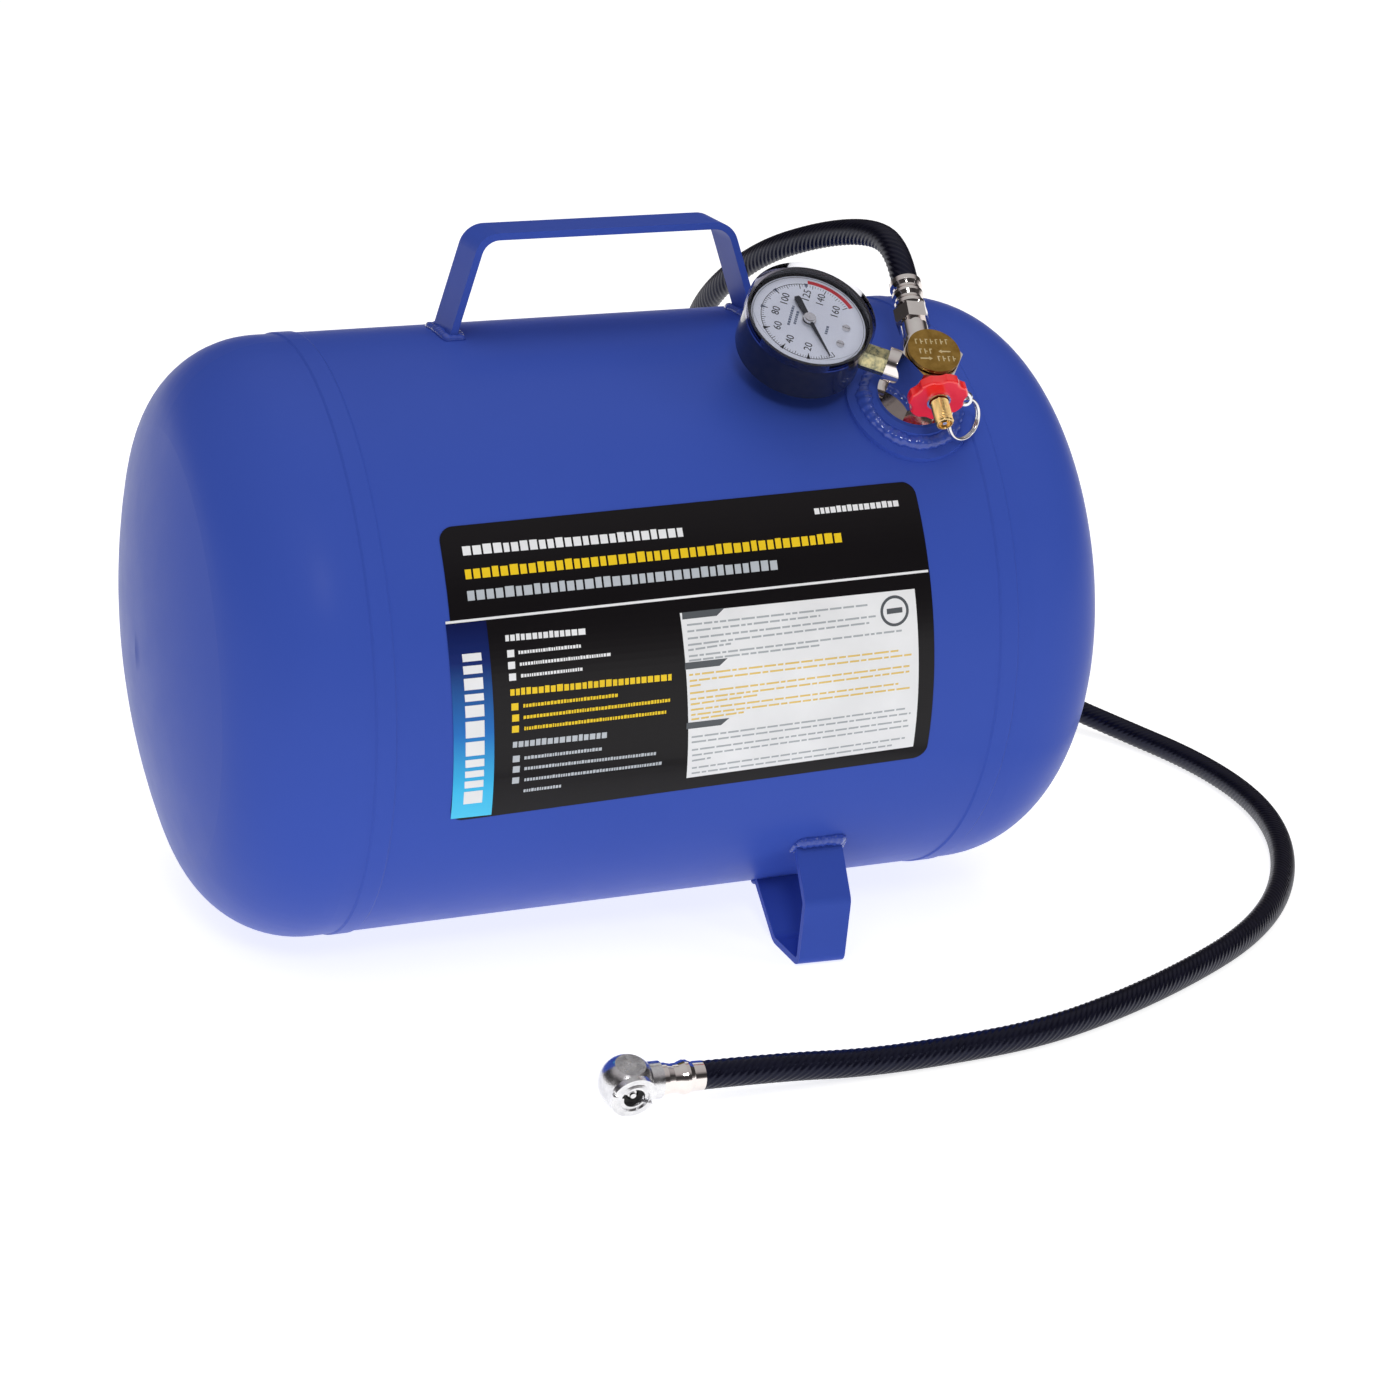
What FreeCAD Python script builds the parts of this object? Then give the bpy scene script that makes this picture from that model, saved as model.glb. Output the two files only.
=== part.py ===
import FreeCAD, Part
import math
import os
from FreeCAD import Vector, Placement, Rotation

# Portable air receiver: a horizontal steel vessel with two dished ends, a bent flat-bar
# handle, two flat-bar feet and a port boss that carries a six-sided manifold with a
# pressure gauge, a shut-off knob around a fill valve, a relief valve and an air hose.
# Lengths in millimetres, angles in degrees. World frame: +Z up, floor at Z = 0,
# origin on the floor under the middle of the vessel, vessel axis along X.

doc = FreeCAD.newDocument("air_receiver")
sheet = doc.addObject("Spreadsheet::Sheet", "Dims")
V = {}
row = [0]


def cell(alias, value):
    row[0] += 1
    V[alias] = float(value)
    sheet.set("A%d" % row[0], alias)
    sheet.set("B%d" % row[0], repr(round(float(value), 6)))
    sheet.setAlias("B%d" % row[0], alias)
    return value


# ---------------------------------------------------------------- driving dimensions
for alias, value in (
    # vessel
    ("vessel_radius", 127.0), ("wall_thickness", 2.0), ("seam_half", 134.9),
    ("flange_straight", 11.4), ("knuckle_radius", 48.0), ("crown_radius", 313.5),
    ("bead_height", 0.6), ("bead_width", 9.0),
    ("label_left", -106.3), ("label_right", 98.6), ("label_high", 53.9), ("label_low", 109.3),
    ("label_thick", 0.2), ("lean_angle", 2.025), ("axis_height", 132.42),
    # handle, a flat bar bent twice
    ("handle_width", 23.0), ("bar_thick", 3.0), ("handle_top", 169.5),
    ("handle_left", -59.6), ("handle_right", 51.8), ("handle_slope", 0.325),
    ("handle_bend", 11.0),
    # feet, flat-bar loops
    ("foot_width", 21.3), ("foot_middle", 68.0), ("foot_knee_out", 110.3),
    ("foot_knee_z", 30.2), ("foot_toe_out", 107.7), ("foot_heel_out", 79.0),
    # port boss
    ("port_x", 107.16), ("port_angle", 37.12), ("port_twist", 6.0),
    ("hex_base", 133.58), ("pad_radius", 27.5), ("pad_thick", 2.2),
    ("bung_radius", 19.0), ("bung_bore", 6.6), ("spigot_radius", 11.0),
    # manifold
    ("hex_flats", 23.0), ("hex_height", 27.5), ("base_radius", 15.6),
    ("disc_radius", 11.3), ("disc_thick", 1.5),
    ("gauge_turn", -112.8), ("gauge_reach", 52.5), ("gauge_stem_z", 13.4),
    ("gauge_face_z", 28.4), ("gauge_boss_radius", 7.1), ("gauge_boss_reach", 16.4),
    ("hose_port_z", 13.8), ("hose_turn", 176.3), ("knob_z", 21.2), ("relief_z", 11.1),
    # shut-off knob and fill valve
    ("knob_radius", 12.5), ("knob_thick", 4.5), ("knob_back", 15.3), ("knob_bore", 4.2),
    ("lobe_radius", 6.0), ("lobe_reach", 17.4), ("stem_radius", 3.86),
    ("stem_tip", 32.1), ("sleeve_out", 4.7), ("sleeve_in", 4.15),
    # relief valve
    ("relief_eye", 19.8), ("ring_radius", 8.7), ("ring_wire", 0.7),
    # gauge
    ("gauge_rim", 27.3), ("gauge_case_radius", 26.6), ("gauge_depth", 25.2),
    ("dial_drop", 6.1), ("dial_radius", 24.4), ("pointer_reach", 20.0),
    ("pointer_tail", 12.5),
    # hose
    ("hose_radius", 5.75),
):
    cell(alias, value)

made = {}      # node name -> object whose Shape is exported


def vec(x=0.0, y=0.0, z=0.0):
    return Vector(float(x), float(y), float(z))


def place(x=0, y=0, z=0, axis=(0, 0, 1), angle=0):
    return Placement(vec(x, y, z), Rotation(vec(*axis), float(angle)))


def bind(obj, prop, expr):
    """A number stays a number; a text is an expression on the sheet."""
    if isinstance(expr, str):
        obj.setExpression(prop, expr.replace("$", "Dims."))
    else:
        setattr(obj, prop, float(expr))


count = [0]


def nm(stem):
    count[0] += 1
    return "%s_%d" % (stem, count[0])


def cyl(r, height, at=None, turn=None):
    o = doc.addObject("Part::Cylinder", nm("Cyl"))
    bind(o, "Radius", r)
    bind(o, "Height", height)
    o.Placement = at if at is not None else Placement()
    return o


def box(l, w, h, at=None):
    o = doc.addObject("Part::Box", nm("Box"))
    bind(o, "Length", l)
    bind(o, "Width", w)
    bind(o, "Height", h)
    o.Placement = at if at is not None else Placement()
    return o


def prism(circum, height, at=None):
    o = doc.addObject("Part::Prism", nm("Hex"))
    o.Polygon = 6
    bind(o, "Circumradius", circum)
    bind(o, "Height", height)
    o.Placement = at if at is not None else Placement()
    return o


def torus(r1, r2, at=None, sweep=360.0):
    o = doc.addObject("Part::Torus", nm("Torus"))
    bind(o, "Radius1", r1)
    bind(o, "Radius2", r2)
    o.Angle3 = sweep
    o.Placement = at if at is not None else Placement()
    return o


def sphere(r, at=None):
    o = doc.addObject("Part::Sphere", nm("Ball"))
    bind(o, "Radius", r)
    o.Placement = at if at is not None else Placement()
    return o


def cut(a, b):
    o = doc.addObject("Part::Cut", nm("Cut"))
    o.Base = a
    o.Tool = b
    return o


def common(a, b):
    o = doc.addObject("Part::Common", nm("Common"))
    o.Base = a
    o.Tool = b
    return o


def fuse(*parts):
    o = doc.addObject("Part::MultiFuse", nm("Fuse"))
    o.Shapes = list(parts)
    o.Refine = True
    return o


def node(name, obj):
    obj.Label = name
    made[name] = obj
    return obj


def plane_of(body, role):
    for f in body.Origin.OriginFeatures:
        if f.Role == role:
            return f
    raise RuntimeError(role)


def sketch_on(body, role, name, loops):
    """Closed loops of lines and arcs. Every corner is held by two dimensions whose
    values are cells of the sheet: alias NAME_x3, NAME_y3 and so on.
    A loop is a list of ("L", x, y) and ("A", cx, cy, x, y, ccw, hold) ending at x, y,
    or ("C", cx, cy, r) alone for a full circle."""
    import Sketcher
    sk = body.newObject("Sketcher::SketchObject", nm(name + "_sketch"))
    sk.AttachmentSupport = [(plane_of(body, role), "")]
    sk.MapMode = "FlatFace"
    number = [0]

    def dim(kind, geo, pos, value, tag):
        number[0] += 1
        alias = "%s_%s%d" % (name, tag, number[0])
        text = None
        if isinstance(value, str):
            text = value.replace("$", "Dims.")
            start = cell_value(value)
        else:
            cell(alias, value)
            start = float(value)
            text = "Dims." + alias
        if kind == "Radius":
            i = sk.addConstraint(Sketcher.Constraint("Radius", geo, start))
        else:
            if abs(start) < 1e-9:
                if kind == "DistanceX":
                    sk.addConstraint(Sketcher.Constraint("PointOnObject", geo, pos, -2))
                else:
                    sk.addConstraint(Sketcher.Constraint("PointOnObject", geo, pos, -1))
                return
            i = sk.addConstraint(Sketcher.Constraint(kind, -1, 1, geo, pos, start))
        sk.setExpression("Constraints[%d]" % i, text)

    def val(x):
        return cell_value(x) if isinstance(x, str) else float(x)

    for loop in loops:
        if loop[0][0] == "C":
            _, cx, cy, r = loop[0]
            g = sk.addGeometry(Part.Circle(vec(val(cx), val(cy)), vec(0, 0, 1), val(r)), False)
            dim("DistanceX", g, 3, cx, "x")
            dim("DistanceY", g, 3, cy, "y")
            dim("Radius", g, 0, r, "r")
            continue
        start = loop[-1]
        px, py = (start[1], start[2]) if start[0] == "L" else (start[3], start[4])
        ids = []
        for e in loop:
            if e[0] == "L":
                g = sk.addGeometry(Part.LineSegment(vec(val(px), val(py)), vec(val(e[1]), val(e[2]))), False)
                ids.append((g, 1, 2, "L", e))
                px, py = e[1], e[2]
            else:
                _, cx, cy, x, y, ccw, hold = e
                a0 = math.atan2(val(py) - val(cy), val(px) - val(cx))
                a1 = math.atan2(val(y) - val(cy), val(x) - val(cx))
                r = math.hypot(val(px) - val(cx), val(py) - val(cy))
                c = Part.Circle(vec(val(cx), val(cy)), vec(0, 0, 1), r)
                if ccw:
                    g = sk.addGeometry(Part.ArcOfCircle(c, a0, a1), False)
                    ids.append((g, 1, 2, "A", e))
                else:
                    g = sk.addGeometry(Part.ArcOfCircle(c, a1, a0), False)
                    ids.append((g, 2, 1, "A", e))
                px, py = x, y
        for i, (g, s, t, kind, e) in enumerate(ids):
            g2, s2 = ids[(i + 1) % len(ids)][:2]
            sk.addConstraint(Sketcher.Constraint("Coincident", g, t, g2, s2))
        for g, s, t, kind, e in ids:
            if kind == "L":
                dim("DistanceX", g, t, e[1], "x")
                dim("DistanceY", g, t, e[2], "y")
            else:
                dim("DistanceX", g, 3, e[1], "x")
                dim("DistanceY", g, 3, e[2], "y")
                if e[6] == "x":
                    dim("DistanceX", g, t, e[3], "x")
                else:
                    dim("DistanceY", g, t, e[4], "y")
    return sk


def cell_value(expr):
    """Value of a single cell, given as $alias."""
    return V[expr.strip().lstrip("$")]


def turned(name, loop, at):
    """A body of revolution about its own Z. The loop is in (radius, z)."""
    body = doc.addObject("PartDesign::Body", name + "_body")
    sk = sketch_on(body, "XZ_Plane", name, [loop])
    rev = body.newObject("PartDesign::Revolution", nm(name + "_turn"))
    rev.Profile = (sk, [""])
    rev.ReferenceAxis = (sk, ["V_Axis"])
    rev.Angle = 360.0
    body.Tip = rev
    sk.Visibility = False
    body.Placement = at
    return body


def padded(name, role, loops, length, at, middle=True):
    body = doc.addObject("PartDesign::Body", name + "_body")
    sk = sketch_on(body, role, name, loops)
    pad = body.newObject("PartDesign::Pad", nm(name + "_pad"))
    pad.Profile = (sk, [""])
    bind(pad, "Length", length)
    pad.Midplane = middle
    body.Tip = pad
    body.Placement = at
    return body


def lines(*pts):
    return [("L", x, y) for x, y in pts]


# ---------------------------------------------------------------- frames
TANK = Placement(vec(0, 0, V["axis_height"]), Rotation(vec(0, 1, 0), -V["lean_angle"]))
PORT = TANK * place(V["port_x"], 0, 0) * place(axis=(1, 0, 0), angle=V["port_angle"])
MAN = PORT * place(0, 0, V["hex_base"], (0, 0, 1), -V["port_twist"])
TO_PX = place(axis=(0, 1, 0), angle=90)       # local Z to +X
TO_MX = place(axis=(0, 1, 0), angle=-90)      # local Z to -X
TO_MY = place(axis=(1, 0, 0), angle=90)       # local Z to -Y
TO_PY = place(axis=(1, 0, 0), angle=-90)      # local Z to +Y
R = V["vessel_radius"]
W = V["wall_thickness"]


def aim(base, az, z, reach):
    """Frame on the manifold at height z, local Z pointing along the port direction
    az (0 is the knob side, -Y; 90 is +X), shifted out by reach."""
    return base * place(0, 0, z, (0, 0, 1), az) * TO_MY * place(0, 0, reach)


# ---------------------------------------------------------------- vessel
def tank_bar(r, half):
    return cyl(r, half * 2, TANK * TO_PX * place(0, 0, -half))


port_hole = cyl("$spigot_radius + 0.0", 40, PORT * place(0, 0, 105))
shell_out = cyl("$vessel_radius", "2 * $seam_half", TANK * TO_PX * place(0, 0, -V["seam_half"]))
shell_in = cyl("$vessel_radius - $wall_thickness", "2 * $seam_half", TANK * TO_PX * place(0, 0, -V["seam_half"]))
node("shell", cut(cut(shell_out, shell_in), port_hole))

rk, rc, sf = V["knuckle_radius"], V["crown_radius"], V["flange_straight"]
ck = R - rk                                   # knuckle centre radius
cz = sf - math.sqrt((rc - rk) ** 2 - ck ** 2)  # crown centre on the axis
ux, uz = ck / (rc - rk), (sf - cz) / (rc - rk)
to_x, to_z = ux * rc, cz + uz * rc            # outer tangent point
ti_x, ti_z = ux * (rc - W), cz + uz * (rc - W)
head_loop = [
    ("L", R - W, 0.0), ("L", R, 0.0), ("L", R, sf),
    ("A", ck, sf, to_x, to_z, True, "x"),
    ("A", 0.0, cz, 0.0, cz + rc, True, "x"),
    ("L", 0.0, cz + rc - W),
    ("A", 0.0, cz, ti_x, ti_z, False, "x"),
    ("A", ck, sf, R - W, sf, False, "y"),
]
for side, turn in (("right", TO_PX), ("left", TO_MX)):
    node("head_" + side, turned("head_" + side, head_loop, TANK * turn * place(0, 0, V["seam_half"])))
    b, h = V["bead_width"] / 2, V["bead_height"]
    bead = lines((R, -b), (R + h, -b + 0.9), (R + h, b - 0.9), (R, b))
    node("seam_" + side, turned("seam_" + side, bead, TANK * turn * place(0, 0, V["seam_half"])))

# thin wrap-round label on the front of the shell, between two angles from the top
lab = []
for r in ("$vessel_radius + $label_thick", "$vessel_radius"):
    o = cyl(r, "$label_right - $label_left")
    o.setExpression("Angle", "Dims.label_low - Dims.label_high")
    o.Placement = TANK * place(V["label_left"], 0, 0) * TO_PX * place(0, 0, 0, (0, 0, 1), 180.0 + V["label_high"])
    lab.append(o)
node("label", cut(lab[0], lab[1]))

# ---------------------------------------------------------------- handle
t = V["bar_thick"]
sl = V["handle_slope"]
ht = V["handle_top"]


def offset_corner(p, q, s, d):
    """Corner of two lines p-q and q-s moved in by d (to the right of travel)."""
    ax, ay = q[0] - p[0], q[1] - p[1]
    bx, by = s[0] - q[0], s[1] - q[1]
    la, lb = math.hypot(ax, ay), math.hypot(bx, by)
    ax, ay, bx, by = ax / la, ay / la, bx / lb, by / lb
    n1 = (ay, -ax)
    n2 = (by, -bx)
    k = 1 + n1[0] * n2[0] + n1[1] * n2[1]
    return (q[0] + d * (n1[0] + n2[0]) / k, q[1] + d * (n1[1] + n2[1]) / k)


def strap(path, d, radii):
    """Loop of a flat bar bent along a polyline: outer side is the polyline, the bar
    lies to its right, and each inner corner of the polyline is rounded."""
    n = len(path)
    inner = []
    for i in range(n):
        if i == 0:
            a = path[0]
            b = path[1]
            l = math.hypot(b[0] - a[0], b[1] - a[1])
            inner.append((a[0] + d * (b[1] - a[1]) / l, a[1] - d * (b[0] - a[0]) / l))
        elif i == n - 1:
            a = path[-2]
            b = path[-1]
            l = math.hypot(b[0] - a[0], b[1] - a[1])
            inner.append((b[0] + d * (b[1] - a[1]) / l, b[1] - d * (b[0] - a[0]) / l))
        else:
            inner.append(offset_corner(path[i - 1], path[i], path[i + 1], d))

    def rounded(pts, rad, sign):
        out = [("L",) + tuple(pts[0])]
        for i in range(1, len(pts) - 1):
            p, q, s = pts[i - 1], pts[i], pts[i + 1]
            ax, ay = q[0] - p[0], q[1] - p[1]
            bx, by = s[0] - q[0], s[1] - q[1]
            la, lb = math.hypot(ax, ay), math.hypot(bx, by)
            ax, ay, bx, by = ax / la, ay / la, bx / lb, by / lb
            crs = ax * by - ay * bx
            half = math.acos(max(-1, min(1, ax * bx + ay * by))) / 2
            r = rad[i - 1]
            k = r * math.tan(half)
            s0 = (q[0] - ax * k, q[1] - ay * k)
            s1 = (q[0] + bx * k, q[1] + by * k)
            side = 1 if crs > 0 else -1
            c = (s0[0] - ay * r * side, s0[1] + ax * r * side)
            out.append(("L", s0[0], s0[1]))
            out.append(("A", c[0], c[1], s1[0], s1[1], side > 0,
                        "x" if abs(s1[1] - c[1]) > abs(s1[0] - c[0]) else "y"))
        out.append(("L",) + tuple(pts[-1]))
        return out

    outer = rounded(path, radii, 1)
    back = rounded(inner[::-1], [r - d for r in radii][::-1], -1)
    return outer + back


hp = [(V["handle_left"] - sl * (ht - 124.0), 124.0), (V["handle_left"], ht),
      (V["handle_right"], ht), (V["handle_right"] + sl * (ht - 124.0), 124.0)]
hb = V["handle_bend"]
handle_raw = padded("handle", "XZ_Plane", [strap(hp, t, [hb, hb])], "$handle_width", TANK)
handle = node("handle", cut(handle_raw, tank_bar(R, 150)))

for side, x0, lean in (("left", V["handle_left"] - sl * (ht - R), -1), ("right", V["handle_right"] + sl * (ht - R), 1)):
    xm = x0 - lean * 1.6
    wl, ww = 8.4, V["handle_width"] + 4.0
    weld = fuse(
        cyl(1.9, ww - 3, TANK * place(xm - 2.6, -(ww - 3) / 2, R + 0.3) * TO_PY),
        cyl(1.9, ww - 3, TANK * place(xm + 2.6, -(ww - 3) / 2, R + 0.3) * TO_PY),
        cyl(1.9, 5.2, TANK * place(xm - 2.6, -ww / 2 + 1.5, R - 0.1) * TO_PX),
        cyl(1.9, 5.2, TANK * place(xm - 2.6, ww / 2 - 1.5, R - 0.1) * TO_PX),
        sphere(1.9, TANK * place(xm - 2.6, -ww / 2 + 1.5, R - 0.1)),
        sphere(1.9, TANK * place(xm + 2.6, -ww / 2 + 1.5, R - 0.1)),
        sphere(1.9, TANK * place(xm - 2.6, ww / 2 - 1.5, R - 0.1)),
        sphere(1.9, TANK * place(xm + 2.6, ww / 2 - 1.5, R - 0.1)))
    node("handle_weld_" + side, cut(cut(weld, tank_bar(R, 150)), handle_raw))

# ---------------------------------------------------------------- feet
ah = V["axis_height"]
fw = V["foot_width"]
kz, ko, toe, heel = V["foot_knee_z"], V["foot_knee_out"], V["foot_toe_out"], V["foot_heel_out"]
drop = V["foot_middle"] * math.sin(math.radians(V["lean_angle"]))
zc = ah + drop                                  # vessel axis height over the feet


def on_shell(deg, r):
    return (r * math.sin(math.radians(deg)), zc - r * math.cos(math.radians(deg)))


for side, sg in (("front", -1), ("back", 1)):
    top = on_shell(49.5, R - 3)
    end = on_shell(24.3, R - 3)
    fp = [(top[0], top[1]), (ko, kz), (toe, 0.0), (heel, 0.0), (end[0], end[1])]
    at = place(V["foot_middle"], 0, 0)
    loop = strap(fp, t, [6.0, 5.0, 9.0])
    if sg < 0:
        at = at * place(axis=(0, 0, 1), angle=180)
    raw = padded("foot_" + side, "YZ_Plane", [loop], "$foot_width", at)
    node("foot_" + side, cut(raw, tank_bar(R, 150)))
    beads = []
    for deg, out in ((50.5, 1.6), (24.8, 1.0)):
        y, z = on_shell(deg, R + 0.2)
        beads.append(cyl(2.3, fw - 2, place(V["foot_middle"] - (fw - 2) / 2, sg * y, z) * TO_PX))
        beads.append(sphere(2.3, place(V["foot_middle"] - (fw - 2) / 2, sg * y, z)))
        beads.append(sphere(2.3, place(V["foot_middle"] + (fw - 2) / 2, sg * y, z)))
    upper = cut(cut(fuse(*beads[:3]), tank_bar(R, 150)), raw)
    lower = cut(cut(fuse(*beads[3:]), tank_bar(R, 150)), raw)
    node("foot_weld_%s_upper" % side, upper)
    node("foot_weld_%s_lower" % side, lower)

# ---------------------------------------------------------------- port boss
pad_plug = cyl("$pad_radius", 40, PORT * place(0, 0, 105))
pad_skin = cut(cyl("$vessel_radius + $pad_thick", 100, TANK * TO_PX * place(0, 0, V["port_x"] - 50)),
               cyl("$vessel_radius", 100, TANK * TO_PX * place(0, 0, V["port_x"] - 50)))
seam_clear = cyl("$vessel_radius + $bead_height + 0.05", 30.0, TANK * TO_PX * place(0, 0, V["seam_half"] - V["bead_width"] / 2 - 0.05))
node("port_pad", cut(cut(common(pad_plug, pad_skin), cyl("$bung_radius", 60, PORT * place(0, 0, 95))), seam_clear))
bung_top = V["hex_base"] - 1.6
bung_ring = cut(cyl("$bung_radius", bung_top - 115.0, PORT * place(0, 0, 115)), tank_bar(R, 150))
bung_spigot = cyl("$spigot_radius", 130.0 - 119.0, PORT * place(0, 0, 119))
node("port_bung", cut(fuse(bung_ring, bung_spigot), cyl("$bung_bore", 60, PORT * place(0, 0, 95))))
weld_ring = torus("$bung_radius + 0.4", 2.3, PORT * place(0, 0, R + 1.6))
node("port_weld", cut(cut(cut(weld_ring, cyl("$bung_radius", 60, PORT * place(0, 0, 95))),
                          tank_bar(R + V["pad_thick"], 150)), tank_bar(R, 150)))

# ---------------------------------------------------------------- manifold
hexr = V["hex_flats"] / math.sqrt(3)
cell("hex_corner", hexr)
gt, gz = V["gauge_turn"], V["gauge_stem_z"]
hz, kzz, rz, ha = V["hose_port_z"], V["knob_z"], V["relief_z"], V["hose_turn"]
solid = fuse(
    prism("$hex_corner", "$hex_height", MAN),
    cyl("$base_radius", 1.9, MAN * place(0, 0, -1.6)),
    cyl(9.4, 0.6, MAN * place(0, 0, V["hex_height"])),
    cyl("$bung_bore - 0.05", 11.0, MAN * place(0, 0, -12.0)),
    cyl("$gauge_boss_radius", "$gauge_boss_reach", aim(MAN, gt, gz, 0)),
    cyl(7.4, 14.0, aim(MAN, ha, hz, 0)),
    cyl(5.9, 13.0, aim(MAN, 60, rz, 0)),
    cyl(5.6, 14.6, aim(MAN, 0, kzz, 0)))
ways = fuse(
    cyl(2.6, 26.0, MAN * place(0, 0, -12.5)),
    cyl(4.9, 8.0, aim(MAN, gt, gz, V["gauge_boss_reach"] - 5.0)),
    cyl(2.0, 14.0, aim(MAN, gt, gz, 0)),
    cyl(2.4, 15.0, aim(MAN, ha, hz, 0)),
    cyl(3.2, 9.0, aim(MAN, 60, rz, 5.0)),
    cyl(5.0, 12.0, aim(MAN, 0, kzz, 3.5)))
node("manifold_body", cut(solid, ways))
node("airflow_disc", cyl("$disc_radius", "$disc_thick", MAN * place(0, 0, V["hex_height"] + 0.6)))

# ---------------------------------------------------------------- shut-off knob, fill valve
kb, kt, kr = V["knob_back"], V["knob_thick"], V["knob_radius"]
KN = aim(MAN, 0, kzz, kb)
kbody = doc.addObject("PartDesign::Body", "knob_body")
ks = sketch_on(kbody, "XY_Plane", "knob", [[("C", 0.0, 0.0, "$knob_radius")]])
kpad = kbody.newObject("PartDesign::Pad", "knob_pad")
kpad.Profile = (ks, [""])
bind(kpad, "Length", "$knob_thick")
ls = sketch_on(kbody, "XY_Plane", "lobe", [[("C", "$lobe_reach", 0.0, "$lobe_radius")]])
kpoc = kbody.newObject("PartDesign::Pocket", "knob_scallop")
kpoc.Profile = (ls, [""])
kpoc.Type = "ThroughAll"
kpoc.Midplane = True
doc.recompute()
kpp = kbody.newObject("PartDesign::PolarPattern", "knob_lobes")
kpp.Originals = [kpoc]
kpp.Axis = (ls, ["N_Axis"])
kpp.Angle = 360.0
kpp.Occurrences = 7
kbody.Tip = kpp
doc.recompute()
kfil = kbody.newObject("PartDesign::Fillet", "knob_soft")
edges = []
for i, e in enumerate(kpp.Shape.Edges):
    bbx = e.BoundBox
    if bbx.ZLength < 1e-6:
        edges.append("Edge%d" % (i + 1))
kfil.Base = (kpp, edges)
kfil.Radius = 0.9
kbody.Tip = kfil
bs = sketch_on(kbody, "XY_Plane", "bore", [[("C", 0.0, 0.0, "$knob_bore")]])
kbore = kbody.newObject("PartDesign::Pocket", "knob_hole")
kbore.Profile = (bs, [""])
kbore.Type = "ThroughAll"
kbore.Midplane = True
kbody.Tip = kbore
kbody.Placement = KN
node("shutoff_knob", kbody)

sleeve = cut(cyl("$sleeve_out", kb - 6.0, aim(MAN, 0, kzz, 6.0)), cyl("$sleeve_in", kb, aim(MAN, 0, kzz, 5.0)))
node("shutoff_sleeve", sleeve)
node("knob_washer", cut(cyl(5.0, 0.7, aim(MAN, 0, kzz, kb + kt)), cyl("$sleeve_in", 3.0, aim(MAN, 0, kzz, kb + kt - 1))))

FS = aim(MAN, 0, kzz, 0)
tip = V["stem_tip"]
sr = V["stem_radius"]
stem_loop = lines((1.3, 3.5), (3.5, 3.5), (3.5, 20.8), (sr, 20.8), (sr, tip - 0.5), (sr - 0.5, tip), (2.9, tip), (2.65, tip - 0.5),
                  (2.65, tip - 9.0), (1.3, tip - 10.0))
node("fill_stem", turned("fill_stem", stem_loop, FS))
core_loop = lines((1.25, tip - 8.0), (2.65, tip - 8.0), (2.65, tip - 1.2), (1.8, tip - 1.2), (1.8, tip - 1.8), (1.25, tip - 1.8))
node("valve_core", turned("valve_core", core_loop, FS))
pin_loop = lines((0.0, tip - 9.6), (0.65, tip - 9.6), (0.65, tip - 1.4), (0.9, tip - 1.2), (0.9, tip - 0.4), (0.0, tip - 0.4))
node("core_pin", turned("core_pin", pin_loop, FS))

# ---------------------------------------------------------------- relief valve
RV = aim(MAN, 60, rz, 0)
eye = V["relief_eye"]
relief = cut(fuse(prism(5.6, 1.9, RV * place(0, 0, 13.0)), cyl(4.2, 1.3, RV * place(0, 0, 14.9))),
             cyl(1.85, 10.0, RV * place(0, 0, 10.0)))
node("relief_body", relief)
node("relief_poppet", cyl(2.7, 1.6, RV * place(0, 0, 6.4)))
# the pull ring hangs straight down from the eye, seen three-quarter on
E0 = RV * place(0, 0, eye)
eye_at = E0.Base
hang = vec(0, 0, -1)
wire_dir = vec(0.938, 0.345, 0.0)
wire_dir.normalize()
stem_dir = E0.Rotation.multVec(vec(0, 0, 1))
hole_dir = wire_dir - stem_dir * wire_dir.dot(stem_dir)
hole_dir.normalize()
EYE = Placement(eye_at, Rotation(stem_dir, vec(0, 0, 0), hole_dir, "ZXY"))
relief_stem = cut(fuse(cyl(1.5, eye - 8.0 - 2.4, RV * place(0, 0, 8.0)),
                       cyl(3.3, 1.5, EYE * place(0, 0, -0.75))),
                  cyl(2.2, 4.0, EYE * place(0, 0, -2.0)))
node("relief_stem", relief_stem)
ring_c = eye_at + hang * V["ring_radius"]
RING = Placement(ring_c, Rotation(wire_dir, vec(0, 0, 0), wire_dir.cross(hang), "ZXY"))
node("pull_ring", fuse(torus("$ring_radius", "$ring_wire", RING * place(0, 0, 0.5)),
                       torus("$ring_radius", "$ring_wire", RING * place(0, 0, -0.5))))

# ---------------------------------------------------------------- gauge
s_, az = V["gauge_reach"], math.radians(gt)
GA = MAN * place(s_ * math.sin(az), -s_ * math.cos(az), V["gauge_face_z"], (0, 0, 1), 180 + gt)
gr, gc, gd = V["gauge_rim"], V["gauge_case_radius"], V["gauge_depth"]
case_loop = lines((0.0, -gd), (gc - 1.6, -gd), (gc, -gd + 1.6), (gc, -3.0), (gc - 1.2, -3.0), (gc - 1.2, -gd + 1.8), (0.0, -gd + 1.8))
gstem = gz - V["gauge_face_z"]                  # stem height in the gauge frame
SK = GA * place(0, 0, gstem) * TO_MY            # stem frame, local Z away from the dial centre
case = cut(turned("gauge_case", case_loop, GA), cyl(5.3, 10.0, SK * place(0, 0, 22.0)))
node("gauge_case", case)
lens_loop = lines((0.0, -2.3), (gr - 2.6, -2.3), (gr - 2.6, -1.4), (gc + 0.06, -3.4), (gc + 0.06, -7.0), (gr, -7.0), (gr, -0.7),
                  (gr - 0.7, 0.0), (gr - 1.5, 0.0), (gr - 2.6, -1.0), (0.0, -1.0))
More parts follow.
